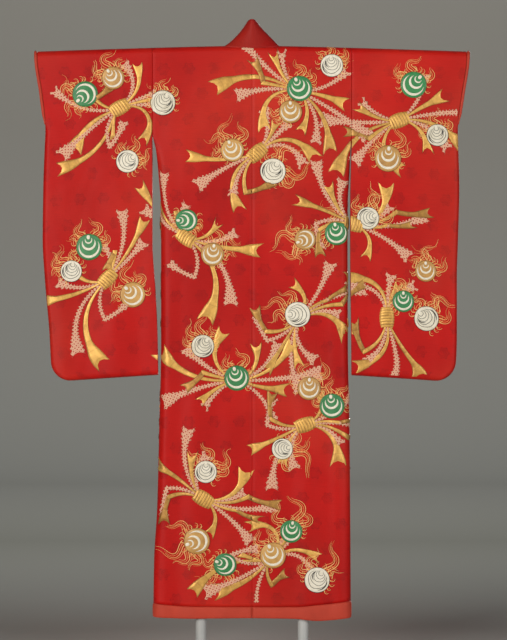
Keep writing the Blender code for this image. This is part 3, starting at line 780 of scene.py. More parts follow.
def lock(drawing, rng, start, toward, length, sway, curl):
    """A lock of flame: cords that leave the rim side by side, sway together, draw closer and end
    one after another."""
    t = np.linspace(0, 1, 22)
    swing = sway * np.sin(2 * math.pi * 1.25 * t + 0.4) * (0.9 + 0.4 * t)
    middle = sweep(start, toward + swing + curl * t**4, length)
    left = beside(heading(middle))
    for i in range(4):
        aside = (i - 1.5) * (0.0055 * (1 - t) ** 1.2 + 0.0022) + 0.0007 * np.sin(11 * t + 2 * i)
        line = middle + left * aside[:, None]
        last = int(len(t) * rng.uniform(0.62, 1.0))
        radii = FLAME * (1 - 0.70 * np.linspace(0, 1, last) ** 1.5)
        drawing.thread("ember" if i % 2 else "flame", line[:last], radii, 0.0008 + 0.0001 * i)


def flames(drawing, rng, middle, diameter, toward, reach):
    """The flames of a jewel: locks that stream away, and small hooks along its rim."""
    radius = diameter / 2
    for lean, share in ((-58, 0.9), (-12, 1.3), (34, 1.05), (76, 0.8)):
        at = toward + math.radians(lean + rng.uniform(-8, 8))
        start = middle + radius * 0.90 * pointing(at)
        hand = rng.choice((-1, 1))
        drift = toward + 0.70 * (at - toward) + rng.uniform(-0.25, 0.25)
        length = reach * share * rng.uniform(1.15, 1.4)
        sway = hand * rng.uniform(0.8, 1.2)
        lock(drawing, rng, start, drift, length, sway, -hand * rng.uniform(0.8, 3.0))
    t = np.linspace(0, 1, 11)
    for step in range(-6, 7):
        at = toward + math.radians(step * 19 + rng.uniform(-5, 5))
        start = middle + radius * 0.96 * pointing(at)
        hand = 1 if step > 0 else -1
        size = rng.uniform(0.020, 0.029)
        for i, work in enumerate(("flame", "ember")):
            line = sweep(start, at + hand * (1.45 - 3.1 * t**1.2), size * (1 - 0.36 * i))
            drawing.thread(work, line, HOOK * (1 - 0.6 * t), 0.0014 - 0.0003 * i)


def design(mirror):
    """The whole design of the back, or its mirror image for the front."""
    drawing = Drawing()
    rng = np.random.default_rng(SEED)
    for x, drop, axis, bunch, hand in KNOTS:
        middle = np.array([mirror * x, -drop])
        turn = axis if mirror > 0 else 180 - axis
        for order, row in enumerate(BUNCHES[bunch]):
            leave = math.radians(row[1])
            side = 1 if math.cos(leave) >= 0 else -1
            offset = 0.010 * math.sin(mirror * hand * leave)
            start = placed(middle, math.radians(turn), side * 0.018, offset)
            ribbon(drawing, rng, start, turn, row, mirror * hand, order)
        if all(math.hypot(x - row[0], drop - row[1]) >= 0.28 * row[3] for row in JEWELS):
            knot(drawing, middle, math.radians(turn))
    for x, drop, work, diameter, tip, toward, reach in JEWELS:
        middle = np.array([mirror * x, -drop])
        if mirror < 0:
            tip, toward = 180 - tip, 180 - toward
        flames(drawing, rng, middle, diameter, math.radians(toward), reach)
        jewel(drawing, rng, middle, work, diameter, math.radians(tip))
    return drawing


# ---- settings ------------------------------------------------------------------------------------


def linear(code):
    """An sRGB hex colour as the linear one that a shader takes."""
    parts = [int(code[i : i + 2], 16) / 255 for i in (0, 2, 4)]
    return (*[c / 12.92 if c <= 0.04045 else ((c + 0.055) / 1.055) ** 2.4 for c in parts], 1.0)


def colour(name, description, code):
    """A colour that can be changed in the sidebar."""
    return FloatVectorProperty(
        name=name, description=description, default=linear(code), size=4, subtype="COLOR"
    )


class ClothSettings(bpy.types.PropertyGroup):
    step: FloatProperty(
        name="Grid",
        description="Spacing of the cloth's points",
        default=0.011,
        min=0.004,
        unit="LENGTH",
    )
    ground: colour("Satin", "Ground of the robe", "B5120D")
    figure: colour("Roundels", "Woven roundels", "9A0E0C")
    lining: colour("Lining", "Lining and padded edges", "B83C28")
    # The collar's red is the ground's red painted darker: painted shade for the collar, which leans
    # back away from the lamps.
    collar: colour("Collar", "Satin of the collar", "941512")
    roundel_pitch: FloatProperty(
        name="Roundel pitch",
        description="Between woven roundels",
        default=0.076,
        min=0.02,
        unit="LENGTH",
    )


class EmbroiderySettings(bpy.types.PropertyGroup):
    gold: colour("Gold", "Gold thread", "E2AE55")
    kanoko: colour("Kanoko", "Ribbons of knotted dye work", "DFB292")
    green: colour("Green", "Green jewels", "2C8546")
    ivory: colour("Ivory", "White jewels", "E9E0CB")
    thread_sides: IntProperty(
        name="Thread sides", description="Sides of a couched thread", default=5, min=3, max=12
    )


class StageSettings(bpy.types.PropertyGroup):
    distance: FloatProperty(
        name="Distance",
        description="From the camera to the robe",
        default=8.0,
        min=2.0,
        unit="LENGTH",
    )
    backdrop: colour("Backdrop", "Wall of the stage", "8E8C86")
    floor: colour("Floor", "Floor in front of the wall", "92938F")


# ---- materials -----------------------------------------------------------------------------------

MATH = "ShaderNodeMath"
VECTOR = "ShaderNodeVectorMath"
RANGE = "ShaderNodeMapRange"
NOISE = "ShaderNodeTexNoise"
MAPPING = "ShaderNodeMapping"
MIX = "ShaderNodeMix"
SEPARATE = "ShaderNodeSeparateXYZ"
COMBINE = "ShaderNodeCombineXYZ"
UV_MAP = "ShaderNodeUVMap"
PLACE = "ShaderNodeTexCoord"


def add_node(tree, kind, inputs=(), out=0, **settings):
    """Adds a node with its settings. inputs are sockets to link and values to set, in the node's
    own order or by name; None leaves one as it is. Gives one output, or the node if out is None."""
    made = tree.nodes.new(kind)
    for name, value in settings.items():
        setattr(made, name, value)
    for socket, value in inputs.items() if isinstance(inputs, dict) else enumerate(inputs):
        if isinstance(value, bpy.types.NodeSocket):
            tree.links.new(value, made.inputs[socket])
        elif value is not None:
            made.inputs[socket].default_value = value
    return made if out is None else made.outputs[out]


def new_material(name, **constants):
    """A material with a Principled shader, whose constants are set on its own sockets."""
    made = bpy.data.materials.new(name)
    made.use_nodes = True
    shader = made.node_tree.nodes["Principled BSDF"]
    for socket, value in constants.items():
        shader.inputs[socket.replace("_", " ")].default_value = value
    return made, made.node_tree


def surface(tree, tint, relief=None, strength=0.0, distance=0.0):
    """Gives a material's shader its colour, and its fine relief where it has one."""
    shader = tree.nodes["Principled BSDF"]
    tree.links.new(tint, shader.inputs["Base Color"])
    if relief:
        inputs = {"Height": relief, "Strength": strength, "Distance": distance}
        tree.links.new(add_node(tree, "ShaderNodeBump", inputs), shader.inputs["Normal"])


def roundels(tree, cloth, pitch, shift):
    """How strongly a woven roundel shows: flowers of six petals, ringed, on a lattice."""
    scale = (1 / pitch, 0.5 / pitch, 1.0)
    cell = add_node(tree, MAPPING, (cloth, (shift, shift, 0.0), None, scale))
    part = add_node(tree, VECTOR, (cell,), operation="FRACTION")
    out = add_node(tree, VECTOR, (part, (0.5, 0.5, 0.0)), operation="SUBTRACT")
    parts = add_node(tree, SEPARATE, (out,), None).outputs
    up = add_node(tree, MATH, (parts[1], 2.0), operation="MULTIPLY")
    flat = add_node(tree, COMBINE, (parts[0], up))
    radius = add_node(tree, VECTOR, (flat,), "Value", operation="LENGTH")
    angle = add_node(tree, MATH, (up, parts[0]), operation="ARCTAN2")
    sixfold = add_node(tree, MATH, (angle, 6.0), operation="MULTIPLY")
    petals = add_node(tree, MATH, (sixfold,), operation="COSINE")
    edge = add_node(tree, MATH, (petals, 0.030, 0.245), operation="MULTIPLY_ADD")
    inside = add_node(tree, MATH, (edge, radius), operation="SUBTRACT")
    disc = add_node(tree, RANGE, (inside, -0.02, 0.03))
    waves = add_node(tree, MATH, (radius, 62.0), operation="MULTIPLY")
    rings = add_node(tree, MATH, (waves,), operation="SINE")
    spokes = add_node(tree, MATH, (petals, rings), operation="MULTIPLY")
    depth = add_node(tree, MATH, (spokes, 0.34, 0.66), operation="MULTIPLY_ADD")
    return add_node(tree, MATH, (disc, depth), operation="MULTIPLY")


def satin_material(name, ground, figured, pitch):
    """Silk satin (rinzu), woven warp-faced and glossy, with matt roundels: the light spreads softly
    and the roundels show as darker red, more or less worn. The cross lines of the weave are drawn
    2.4 mm apart, far coarser than real threads, so that they show. Age has faded it in places."""
    made, tree = new_material(
        name, Roughness=0.50, Sheen_Weight=0.03, Sheen_Roughness=0.45, Specular_IOR_Level=0.14
    )
    cloth = add_node(tree, UV_MAP, uv_map="cloth")
    marks = [roundels(tree, cloth, pitch, shift) for shift in (0.0, 0.5)]
    both = add_node(tree, MATH, marks, operation="MAXIMUM")
    patches = add_node(tree, NOISE, (cloth, None, 46.0, 5.0))
    wear = add_node(tree, RANGE, (patches, 0.40, 0.60, 0.25, 1.0))
    figure = add_node(tree, MATH, (both, wear), operation="MULTIPLY")
    clouds = add_node(tree, NOISE, (cloth, None, 3.2, 3.0))
    broad = add_node(tree, RANGE, (clouds, 0.3, 0.7, 0.84, 1.14))
    stretched = add_node(tree, MAPPING, (cloth, None, None, (26.0, 420.0, 1.0)))
    slubs = add_node(tree, NOISE, (stretched, None, 1.0, 2.0))
    fine = add_node(tree, RANGE, (slubs, 0.3, 0.7, 0.95, 1.05))
    age = add_node(tree, NOISE, (cloth, None, 1.9, 2.0))
    faded = add_node(tree, RANGE, (age, 0.45, 0.70, 0.0, 0.35))
    dyed = add_node(tree, MIX, {0: figure, 6: ground, 7: figured}, 2, data_type="RGBA")
    red = add_node(tree, MIX, {0: faded, 6: dyed, 7: linear("C2432C")}, 2, data_type="RGBA")
    shade = add_node(tree, MATH, (broad, fine), operation="MULTIPLY")
    lit = add_node(tree, VECTOR, {0: red, "Scale": shade}, operation="SCALE")
    relief = add_node(tree, MATH, (figure, -0.5, slubs), operation="MULTIPLY_ADD")
    surface(tree, lit, relief, 0.35, 0.0006)
    return made


def lining_silk(name, tint, scale):
    """Plain-woven silk with a slight slub: softer and less glossy than the satin."""
    made, tree = new_material(
        name, Roughness=0.62, Sheen_Weight=0.05, Sheen_Roughness=0.5, Specular_IOR_Level=0.25
    )
    place = add_node(tree, PLACE, out="Object")
    broad = add_node(tree, NOISE, (place, None, 14.0, 4.0))
    threads = add_node(tree, MAPPING, (place, None, None, (scale, scale, scale * 4)))
    weave = add_node(tree, NOISE, (threads, None, 1.0, 2.0))
    both = add_node(tree, MATH, (weave, 0.5, broad), operation="MULTIPLY_ADD")
    shade = add_node(tree, RANGE, (both, 0.45, 1.05, 0.86, 1.12))
    lit = add_node(tree, VECTOR, {0: tint[:3], "Scale": shade}, operation="SCALE")
    surface(tree, lit, both, 0.4, 0.0008)
    return made


def laid_thread(name, light, dark, roughness, metallic, stitch, tie=0.0):
    """Thread laid side by side and tied down, as on a ribbon or a jewel. It catches the light along
    each thread; darker where the work's own tone says, which on the wound knot is painted shade in
    its grooves, and at the ties across it. With ties, the thread is also painted darker towards one
    edge than the other, as painted shade that rounds a gold ribbon or knot."""
    made, tree = new_material(
        name, Roughness=roughness, Metallic=metallic, Sheen_Weight=0.15, Specular_IOR_Level=0.5
    )
    skin = add_node(tree, UV_MAP, uv_map="skin")
    tone = add_node(tree, SEPARATE, (add_node(tree, UV_MAP, uv_map="tone"),), None).outputs
    stretched = add_node(tree, MAPPING, (skin, None, None, (1 / stitch, 0.12 / stitch, 1.0)))
    threads = add_node(tree, NOISE, (stretched, None, 1.0, 2.0))
    cloud = add_node(tree, NOISE, (skin, None, 60.0, 3.0))
    level = add_node(tree, MATH, (tone[1], -0.92), operation="ADD")
    level = add_node(tree, MATH, (cloud, 1.4, level), operation="MULTIPLY_ADD")
    level = add_node(tree, MATH, (threads, 0.35, level), operation="MULTIPLY_ADD")
    if tie:
        along = add_node(tree, SEPARATE, (skin,), 1)
        turns = add_node(tree, MATH, (along, 2 * math.pi / tie), operation="MULTIPLY")
        ties = add_node(tree, RANGE, (add_node(tree, MATH, (turns,), operation="SINE"), 0.90, 1.0))
        level = add_node(tree, MATH, (ties, -0.22, level), operation="MULTIPLY_ADD")
        # Painted shade: one edge of a gold ribbon or knot darker than the other, to round it.
        level = add_node(tree, MATH, (tone[0], 0.16, level), operation="MULTIPLY_ADD")
    level = add_node(tree, MATH, (level, 0.0), operation="ADD", use_clamp=True)
    tint = add_node(tree, MIX, {0: level, 6: dark, 7: light}, 2, data_type="RGBA")
    surface(tree, tint, threads, 0.5, 0.0005)
    return made


def kanoko_material(name, pale, pitch):
    """Silk tied and dyed in tiny rings, so each ring keeps a red speck: pinkish white with rows of
    specks at twice the real distance, so that they show, and red between them."""
    made, tree = new_material(name, Roughness=0.7, Sheen_Weight=0.1, Specular_IOR_Level=0.25)
    skin = add_node(tree, UV_MAP, uv_map="skin")
    slanted = add_node(tree, MAPPING, (skin, None, (0, 0, math.pi / 4), (1 / pitch, 1 / pitch, 1)))
    part = add_node(tree, VECTOR, (slanted,), operation="FRACTION")
    out = add_node(tree, VECTOR, (part, (0.5, 0.5, 0.0)), operation="SUBTRACT")
    parts = add_node(tree, SEPARATE, (out,), None).outputs
    flat = add_node(tree, COMBINE, (parts[0], parts[1]))
    radius = add_node(tree, VECTOR, (flat,), "Value", operation="LENGTH")
    speck = add_node(tree, RANGE, (radius, 0.08, 0.20, 0.75, 0.0))
    between = add_node(tree, RANGE, (radius, 0.43, 0.56, 0.0, 0.95))
    share = add_node(tree, MATH, (speck, between), operation="MAXIMUM")
    tint = add_node(tree, MIX, {0: share, 6: pale, 7: linear("B02A22")}, 2, data_type="RGBA")
    knob = add_node(tree, RANGE, (radius, 0.2, 0.6, 1.0, 0.0))
    surface(tree, tint, knob, 0.5, 0.0008)
    return made


def couched_cord(name, tint, roughness, metallic):
    """A cord of twisted thread tied down on the cloth: a silky gloss, broken by the twist."""
    made, tree = new_material(name, Roughness=roughness, Metallic=metallic, Sheen_Weight=0.1)
    twist = add_node(tree, NOISE, (add_node(tree, PLACE, out="Object"), None, 260.0, 2.0))
    shade = add_node(tree, RANGE, (twist, 0.3, 0.7, 0.80, 1.15))
    lit = add_node(tree, VECTOR, {0: tint[:3], "Scale": shade}, operation="SCALE")
    surface(tree, lit, twist, 0.4, 0.0004)
    return made


def powder_coated_steel(name):
    """Steel with a pale grey powder coat: an even colour, a satin gloss and a faint orange peel."""
    made, tree = new_material(name, Roughness=0.42)
    place = add_node(tree, PLACE, out="Object")
    peel = add_node(tree, NOISE, (place, None, 380.0, 2.0))
    dust = add_node(tree, RANGE, (add_node(tree, NOISE, (place, None, 11.0, 4.0)), 0.35, 0.65))
    inputs = {0: dust, 6: linear("B4B4B0"), 7: linear("A6A6A2")}
    surface(tree, add_node(tree, MIX, inputs, 2, data_type="RGBA"), peel, 0.15, 0.0003)
    return made


def material_set(context):
    """Makes all the materials of the robe and its stand, each marked with the key to find it by."""
    cloth, work = context.scene.uchikake_cloth, context.scene.uchikake_work
    made = {
        "satin": satin_material("red_silk_satin", cloth.ground, cloth.figure, cloth.roundel_pitch),
        # A darker copy of the satin for the collar: painted shade.
        "collar": satin_material(
            "dark_red_silk_satin", cloth.collar, cloth.figure, cloth.roundel_pitch
        ),
        "lining": lining_silk("orange_red_lining_silk", cloth.lining, 900.0),
        "gold": laid_thread(
            "laid_gold_thread", work.gold, linear("9A6A2A"), 0.42, 0.35, 0.0016, 0.030
        ),
        "kanoko": kanoko_material("kanoko_silk", work.kanoko, 0.0084),
        "green": laid_thread("laid_green_silk", work.green, linear("155A2E"), 0.45, 0.0, 0.0020),
        "gold_disc": laid_thread(
            "laid_old_gold_silk", linear("C9984F"), linear("8F6230"), 0.45, 0.1, 0.0020
        ),
        "ivory": laid_thread("laid_ivory_silk", work.ivory, linear("C9BFA4"), 0.5, 0.0, 0.0020),
        "line": laid_thread(
            "laid_black_silk", linear("332C26"), linear("1E1A17"), 0.5, 0.0, 0.0020
        ),
        "flame": couched_cord("couched_gold_cord", linear("F4C272"), 0.45, 0.1),
        "ember": couched_cord("couched_orange_cord", linear("E98A48"), 0.5, 0.0),
        "outline": couched_cord("couched_brown_cord", linear("8A5524"), 0.5, 0.1),
        "black_cord": couched_cord("couched_black_cord", linear("2A241F"), 0.5, 0.0),
        "paint": powder_coated_steel("pale_grey_powder_coat"),
    }
    for key, value in made.items():
        value["key"] = key
    return made


def material_of(key):
    """One of the materials by its key. The first call makes them all."""
    made = {found["key"]: found for found in bpy.data.materials if "key" in found}
    return (made or material_set(bpy.context))[key]


# ---- making pieces -------------------------------------------------------------------------------


def add_object(name, data):
    """A new object in the scene."""
    made = bpy.data.objects.new(name, data)
    bpy.context.scene.collection.objects.link(made)
    return made


def add_piece(name, mesh, keys):
    """A piece on the one body of the object, with its materials."""
    obj = add_object(name, mesh)
    for key in keys:
        mesh.materials.append(material_of(key))
    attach(obj, "root")
    return obj


def mesh_from(name, points, faces, layers=()):
    """A smooth mesh. layers are (name, an array with a value for each point) for its UV maps."""
    mesh = bpy.data.meshes.new(name)
    mesh.from_pydata(points.tolist(), [], faces)
    corner = np.empty(len(mesh.loops), np.int32)
    mesh.loops.foreach_get("vertex_index", corner)
    for layer, values in layers:
        uv = mesh.uv_layers.new(name=layer)
        uv.uv.foreach_set("vector", np.ascontiguousarray(values[corner], np.float32).ravel())
    mesh.shade_smooth()
    return mesh


def cloth_panel(name, points, flat, turn_over, node, face="satin", thickness=CLOTH):
    """A panel: the face in satin, and the inner side and the cut edges in the lining."""
    faces = grid_faces(*points.shape[:2])
    faces = faces[:, ::-1] if turn_over else faces
    layers = [("cloth", flat.reshape(-1, 2))]
    mesh = mesh_from(name, points.reshape(-1, 3), faces.tolist(), layers)
    obj = add_piece(name, mesh, (face, "lining"))
    wall = obj.modifiers.new("Wall", "SOLIDIFY")
    wall.thickness = thickness
    wall.offset = 0
    wall.use_even_offset = True
    wall.material_offset = 1
    wall.material_offset_rim = 1
    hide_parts(node)
    return obj


def spread(count, curls):
    """Shares across a panel, closer together at its edges and where its side curls round."""
    even = np.linspace(0, 1, count + 1)
    if curls:
        curl = [0.86, 0.88, 0.90, 0.92, 0.94, 0.96, 0.98, 0.99]
        return np.unique([*even[even < 0.85], 0.005, 0.012, *curl, 1.0])
    return np.unique([*even, 0.988, 0.995, 1.0])


def over_the_bar(place, side, grid_of):
    """Points and flat places of a panel from the low end of its back, over the bar, to that of its
    front. grid_of gives a face's places across and its depths, down from the fold."""
    points, flats = [], []
    for face in (-1, 1):
        across, depth = np.broadcast_arrays(*grid_of(face))
        kept = slice(None, None, -1) if face < 0 else slice(1, None)
        points.append(place(side, face)(across, depth)[kept])
        flats.append(np.stack([side * across, face * depth], axis=2)[kept])
    return np.concatenate(points), np.concatenate(flats)


def body_panel(side, name, node, step):
    """Front and back of one side of the body, in one length over the bar."""
    shares = spread(int(BODY_HALF / step), True)

    def grid_of(face):
        inner = inner_across(face, NEAR_HEM)
        x = inner + (BODY_HALF - inner) * shares
        lowest = hem_top_depth(side * np.minimum(x, HEM_HALF))
        down = np.linspace(0, 1, int(BODY_RUN / step) + 1)[1:, None]
        top = np.repeat(ROUND_BAR[:, None], len(shares), axis=1)
        depth = np.concatenate([top, ROUND_BAR[-1] + (lowest - ROUND_BAR[-1]) * down])
        inner = inner_across(face, depth)
        return inner + (BODY_HALF - inner) * shares, depth

    return cloth_panel(name, *over_the_bar(body_place, side, grid_of), side < 0, node)


def sleeve_panel(side, name, node, step):
    """A sleeve, in one length over the bar."""
    even = np.linspace(0.055, 0.98, int(0.33 / step))
    inwards = np.array([0, 0.002, 0.006, 0.012, 0.02, 0.03, 0.042, *even, 0.992, 1.0])
    down = np.linspace(ROUND_BAR[-1] + 0.004, SLEEVE_DROP - 0.032, int(SLEEVE_RUN / step))
    low = SLEEVE_DROP - np.array([0.024, 0.016, 0.010, 0.006, 0.003, 0.001, 0.0])
    depth = np.concatenate([ROUND_BAR, down, low])[:, None]
    across = BODY_HALF + SLEEVE_WIDTH * (1 - inwards)
    points, flat = over_the_bar(sleeve_place, side, lambda face: (across, depth))
    return cloth_panel(name, points, flat, side > 0, node)


def okumi_panel(side, name, node, step):
    """A front gore, pointed at the top."""
    shares = spread(int(OKUMI_WIDTH / step), False)
    lowest = hem_top_depth(side * (OKUMI_SEAM_X + (OKUMI_EDGE_X - OKUMI_SEAM_X) * shares))
    down = np.linspace(0, 1, int(OKUMI_RUN / step) + 1)[:, None]
    depth = OKUMI_BEGIN + (lowest - OKUMI_BEGIN) * down
    low, high = okumi_edge_x(depth) + GAP, okumi_seam_x(depth) - GAP
    across = high + (low - high) * shares
    flat = np.stack([side * across, depth], axis=2)
    return cloth_panel(name, okumi_place(side)(across, depth), flat, side > 0, node)


def collar_band(name, node):
    """The collar: a cage of the construction's own stations, made smooth by subdivision."""
    last = len(COLLAR_ROWS) - 1 + COLLAR_STEPS
    stations = [(-1, i) for i in range(last, 0, -1)] + [(1, i) for i in range(last + 1)]
    shares = np.linspace(-0.045, 1, 6)  # the seam allowance goes into the body's cloth
    points = np.array([[collar_point(side, i, a) for a in shares] for side, i in stations])
    along = distances(points[:, 2])[:, None]
    flat = np.stack(np.broadcast_arrays(shares * COLLAR_WIDTH, along), axis=2)
    obj = cloth_panel(name, points, flat, True, node, "collar", COLLAR_CLOTH)
    soft = obj.modifiers.new("Soft", "SUBSURF")
    soft.levels = soft.render_levels = 2
    soft.boundary_smooth = "PRESERVE_CORNERS"
    obj.modifiers.move(1, 0)
    return obj


def padded_tube(name, points, node):
    """A padded piece: rings of points joined into a tube, with a fan at each end."""
    rings, sides = points.shape[:2]
    index = np.arange(rings * sides).reshape(rings, sides)
    after = np.roll(index, -1, axis=1)
    quads = np.stack([index[:-1], after[:-1], after[1:], index[1:]], axis=-1).reshape(-1, 4)
    first, last = rings * sides, rings * sides + 1
    caps = [[first, b, a] for a, b in zip(index[0], after[0])]
    caps += [[last, a, b] for a, b in zip(index[-1], after[-1])]
    vertices = np.concatenate([points.reshape(-1, 3), points[[0, -1]].mean(axis=1)])
    mesh = mesh_from(name, vertices, [*quads.tolist(), *caps])
    bm = bmesh.new()
    bm.from_mesh(mesh)
    bmesh.ops.recalc_face_normals(bm, faces=bm.faces)
    bm.to_mesh(mesh)
    bm.free()
    obj = add_piece(name, mesh, ("lining",))
    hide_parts(node)
    return obj


def pucker(along):
    """The small swellings of a wadded roll between its hidden stitches, about 0."""
    return 0.05 * np.sin(along * 260) + 0.04 * np.sin(along * 97 + 1.3)


def roll(name, line, radii, node, sides):
    """A padded lip along a line."""
    ahead = heading(line)
    across = np.cross(ahead, (0, 1.0, 0.02))
    across /= np.linalg.norm(across, axis=1, keepdims=True)
    up = np.cross(across, ahead)
    c, s = pointing(np.linspace(0, 2 * math.pi, sides, endpoint=False)).T[..., None]
    ring = across[:, None] * c + up[:, None] * s
    return padded_tube(name, line[:, None] + ring * radii[:, None, None], node)


def cuff(side, name, node):
    """The padded lip of a hand opening."""
    depth = np.concatenate([np.arange(0, QUARTER, 0.003), np.linspace(QUARTER, CUFF_DEPTH, 40)])
    across = np.full(len(depth), BODY_HALF + SLEEVE_WIDTH)
    back, front = (sleeve_place(side, face)(across, depth) for face in (-1, 1))
    line = np.concatenate([back[::-1], front[1:]])
    from_end = np.minimum(np.arange(len(line)), np.arange(len(line))[::-1])
    full = 0.35 + 0.65 * smooth(0, 7, from_end)
    line[:, 0] += side * (CUFF_ROLL * full + CUFF_GAP)
    return roll(name, line, CUFF_ROLL * full * (0.97 + 0.5 * pucker(distances(line))), node, 12)


def front_edge(side, name, node):
    """The padded lip of a front, below the collar."""
    low = hem_top_depth(np.float64(side * OKUMI_EDGE_X)) - 0.002
    depth = np.linspace(COLLAR_END_DEPTH + 0.003, low, 90)
    x = side * (okumi_edge_x(depth) - EDGE_ROLL - GAP)
    line = hang(x, depth, 1, front_bulge(x, depth, side))
    return roll(name, line, EDGE_ROLL * (0.95 + 0.5 * pucker(distances(line))), node, 10)


def hem_roll(side, face, name, node, sides=24):
    """The padded hem: an oval roll of lining, a little fuller between its stitches."""
    depth = HEM_DEPTH - HEM_MIDDLE
    high = side_x(side, depth)
    low = SEAM if face < 0 else okumi_edge_x(np.float64(HEM_DEPTH)) - EDGE_ROLL
    along = np.unique([*np.linspace(0, 0.93, 44), *np.linspace(0.93, 1.0, 9)])
    straight = low + (high - low) * along
    x = side * straight
    start = 1 - SIDE_CURL / (high - low)
    bulge = back_bulge(x, depth) if face < 0 else front_bulge(x, depth, side)
    line = hang(x, np.full(x.shape, depth), face, bulge + (HEM_ROLL - CLOTH) / 2)
    line = turned(line, side, (along - start) / (1 - start), 1.0, high, PADDED_SEAM)
    height = read(HEM_ROWS, x, 2)
    out = beside(heading(line[:, :2]))
    c, s = pointing(np.linspace(0, 2 * math.pi, sides, endpoint=False)).T
    ends = np.minimum(1, np.sqrt(np.minimum(along, 1 - along) * (high - low) / 0.004 + 0.15))
    half = HEM_ROLL / 2 * (0.98 + 0.8 * pucker(straight)) * ends
    tall = height / 2 * (0.995 - 0.01 * (1 - ends))
    wide = half[:, None] * np.sign(c) * np.abs(c) ** 0.75
    points = np.empty((len(x), sides, 3))
    points[..., :2] = line[:, None, :2] + out[:, None] * wide[..., None]
    middle = HEM_Z + read(HEM_ROWS, x, 1) + height / 2
    points[..., 2] = middle[:, None] + tall[:, None] * np.sign(s) * np.abs(s) ** 0.55
    return padded_tube(name, points, node)


# ---- embroidery on the panels --------------------------------------------------------------------

NORMAL_STEP = 0.0004  # from a point to the places that the cloth's slope is taken from
THREAD_MARGIN = 0.001  # how far within the bounds threads stay
SHORTEST = 3  # the fewest points of a stretch of thread
# Which material each work of the threads has.
THREAD_WORKS = (
    ("flame", "flame"),
    ("ember", "ember"),
    ("outline", "outline"),
    ("line", "black_cord"),
)


class Region:
    """The part of the flat design that lies on one panel. bounds are (point, direction inwards) of
    the lines round it, in across and height up the cloth."""

    def __init__(self, name, side, face, place, flat_of, bounds):
        self.name, self.side, self.face = name, side, face
        self.place, self.flat_of = place, flat_of
        self.bounds = [(np.array(p), np.array(n) / np.linalg.norm(n)) for p, n in bounds]

    def holds(self, flat, margin):
        """Whether each flat point is within the bounds, by more than a margin."""
        return np.all([(flat[:, :2] - p) @ n > margin for p, n in self.bounds], axis=0)

    def raised(self, flat):
        """The place of flat points, with their height above the cloth's outer face."""
        across, depth = flat[:, 0], np.abs(flat[:, 1])
        face = np.where(flat[:, 1] > 0, -self.face, self.face)
        out = np.empty((len(flat), 3))
        for way in (-1, 1):
            chosen = face == way
            if chosen.any():
                out[chosen] = self.lifted(way, across[chosen], depth[chosen], flat[chosen, 2])
        return out

    def lifted(self, face, across, depth, height):
        """The same for points that are all on one face."""
        place = self.place(self.side, face)
        left, right = across - NORMAL_STEP, across + NORMAL_STEP
        above, below = np.maximum(depth - NORMAL_STEP, 0), depth + NORMAL_STEP
        along = place(right, depth) - place(left, depth)
        down = place(across, below) - place(across, above)
        normal = np.cross(along, down) * (self.side * face)
        normal /= np.maximum(np.linalg.norm(normal, axis=1, keepdims=True), 1e-12)
        return place(across, depth) + normal * (CLOTH / 2 + height)[:, None]


def depth_of(x, drop):
    """Depth of cloth at a distance below the shoulder line."""
    return drop + QUARTER - FOLD_RADIUS - CLOTH / 2 - (BAR_Z - bar_height(x))


def body_flat(side):
    """Where points of the design lie on the flat body, and on the gore beside it."""

    def flat_of(points):
        depth = depth_of(points[:, 0], -points[:, 1])
        return np.column_stack([side * points[:, 0], -depth, points[:, 2:]])

    return flat_of


def sleeve_flat(side):
    """Where they lie on a flat sleeve, which is cut wider than it hangs: the design is spread as
    much."""
    column = 1 if side < 0 else 2

    def flat_of(points):
        depth = depth_of(points[:, 0], -points[:, 1])
        low = read(SLEEVE_INNERS, np.clip(depth, 0, 1), column)
        high = read(SLEEVE_ENDS, np.clip(depth, 0, 1), column)
        share = (high - side * points[:, 0]) / (high - low)
        return np.column_stack([BODY_HALF + SLEEVE_WIDTH * (1 - share), -depth, points[:, 2:]])

    return flat_of


def regions():
    """Every panel that shows embroidery, with its bounds. Under the left front the right one is
    left plain."""
    right_of, left_of, above, below = (1, 0), (-1, 0), (0, 1), (0, -1)
    low = ((0, PLAIN_HEM - HEM_DEPTH), above)
    collar = ((NECK_HALF, 0), (1, (COLLAR_END_X - NECK_HALF) / COLLAR_END_DEPTH))
    lean = (OKUMI_SEAM_X - collar_seam_x(OKUMI_TOP_DEPTH)) / (HEM_DEPTH - OKUMI_TOP_DEPTH)
    seam = (OKUMI_SEAM_X, -HEM_DEPTH)
    outer = ((BODY_HALF - 0.003, 0), left_of)
    back = [((SEAM, 0), right_of), ((0, 0.02), below), outer, low]
    front = [collar, (seam, (1, lean)), ((0, -0.03), below), outer, low]
    gore = [(seam, (-1, -lean)), collar, ((OKUMI_EDGE_X + 0.004, 0), right_of), low]
    sleeve = [
        ((BODY_HALF + 0.001, 0), right_of),
        ((BODY_HALF + SLEEVE_WIDTH - 0.004, 0), left_of),
        ((0, 0.008 - SLEEVE_DROP), above),
        ((0, 0.0), below),
    ]
    made = []
    for side, word in SIDES:
        flat = body_flat(side)
        shown = front if side < 0 else [*front, ((SHOWN_FROM, 0), right_of)]
        made.append(Region(f"body_{word}_back", side, -1, body_place, flat, back))
        made.append(Region(f"body_{word}_front", side, 1, body_place, flat, shown))
        for face, facing in FACINGS:
            name = f"sleeve_{word}_{facing}"
            made.append(Region(name, side, face, sleeve_place, sleeve_flat(side), sleeve))
        if side < 0:
            made.append(Region("okumi_left_front", side, 1, okumi_place, flat, gore))
    return made


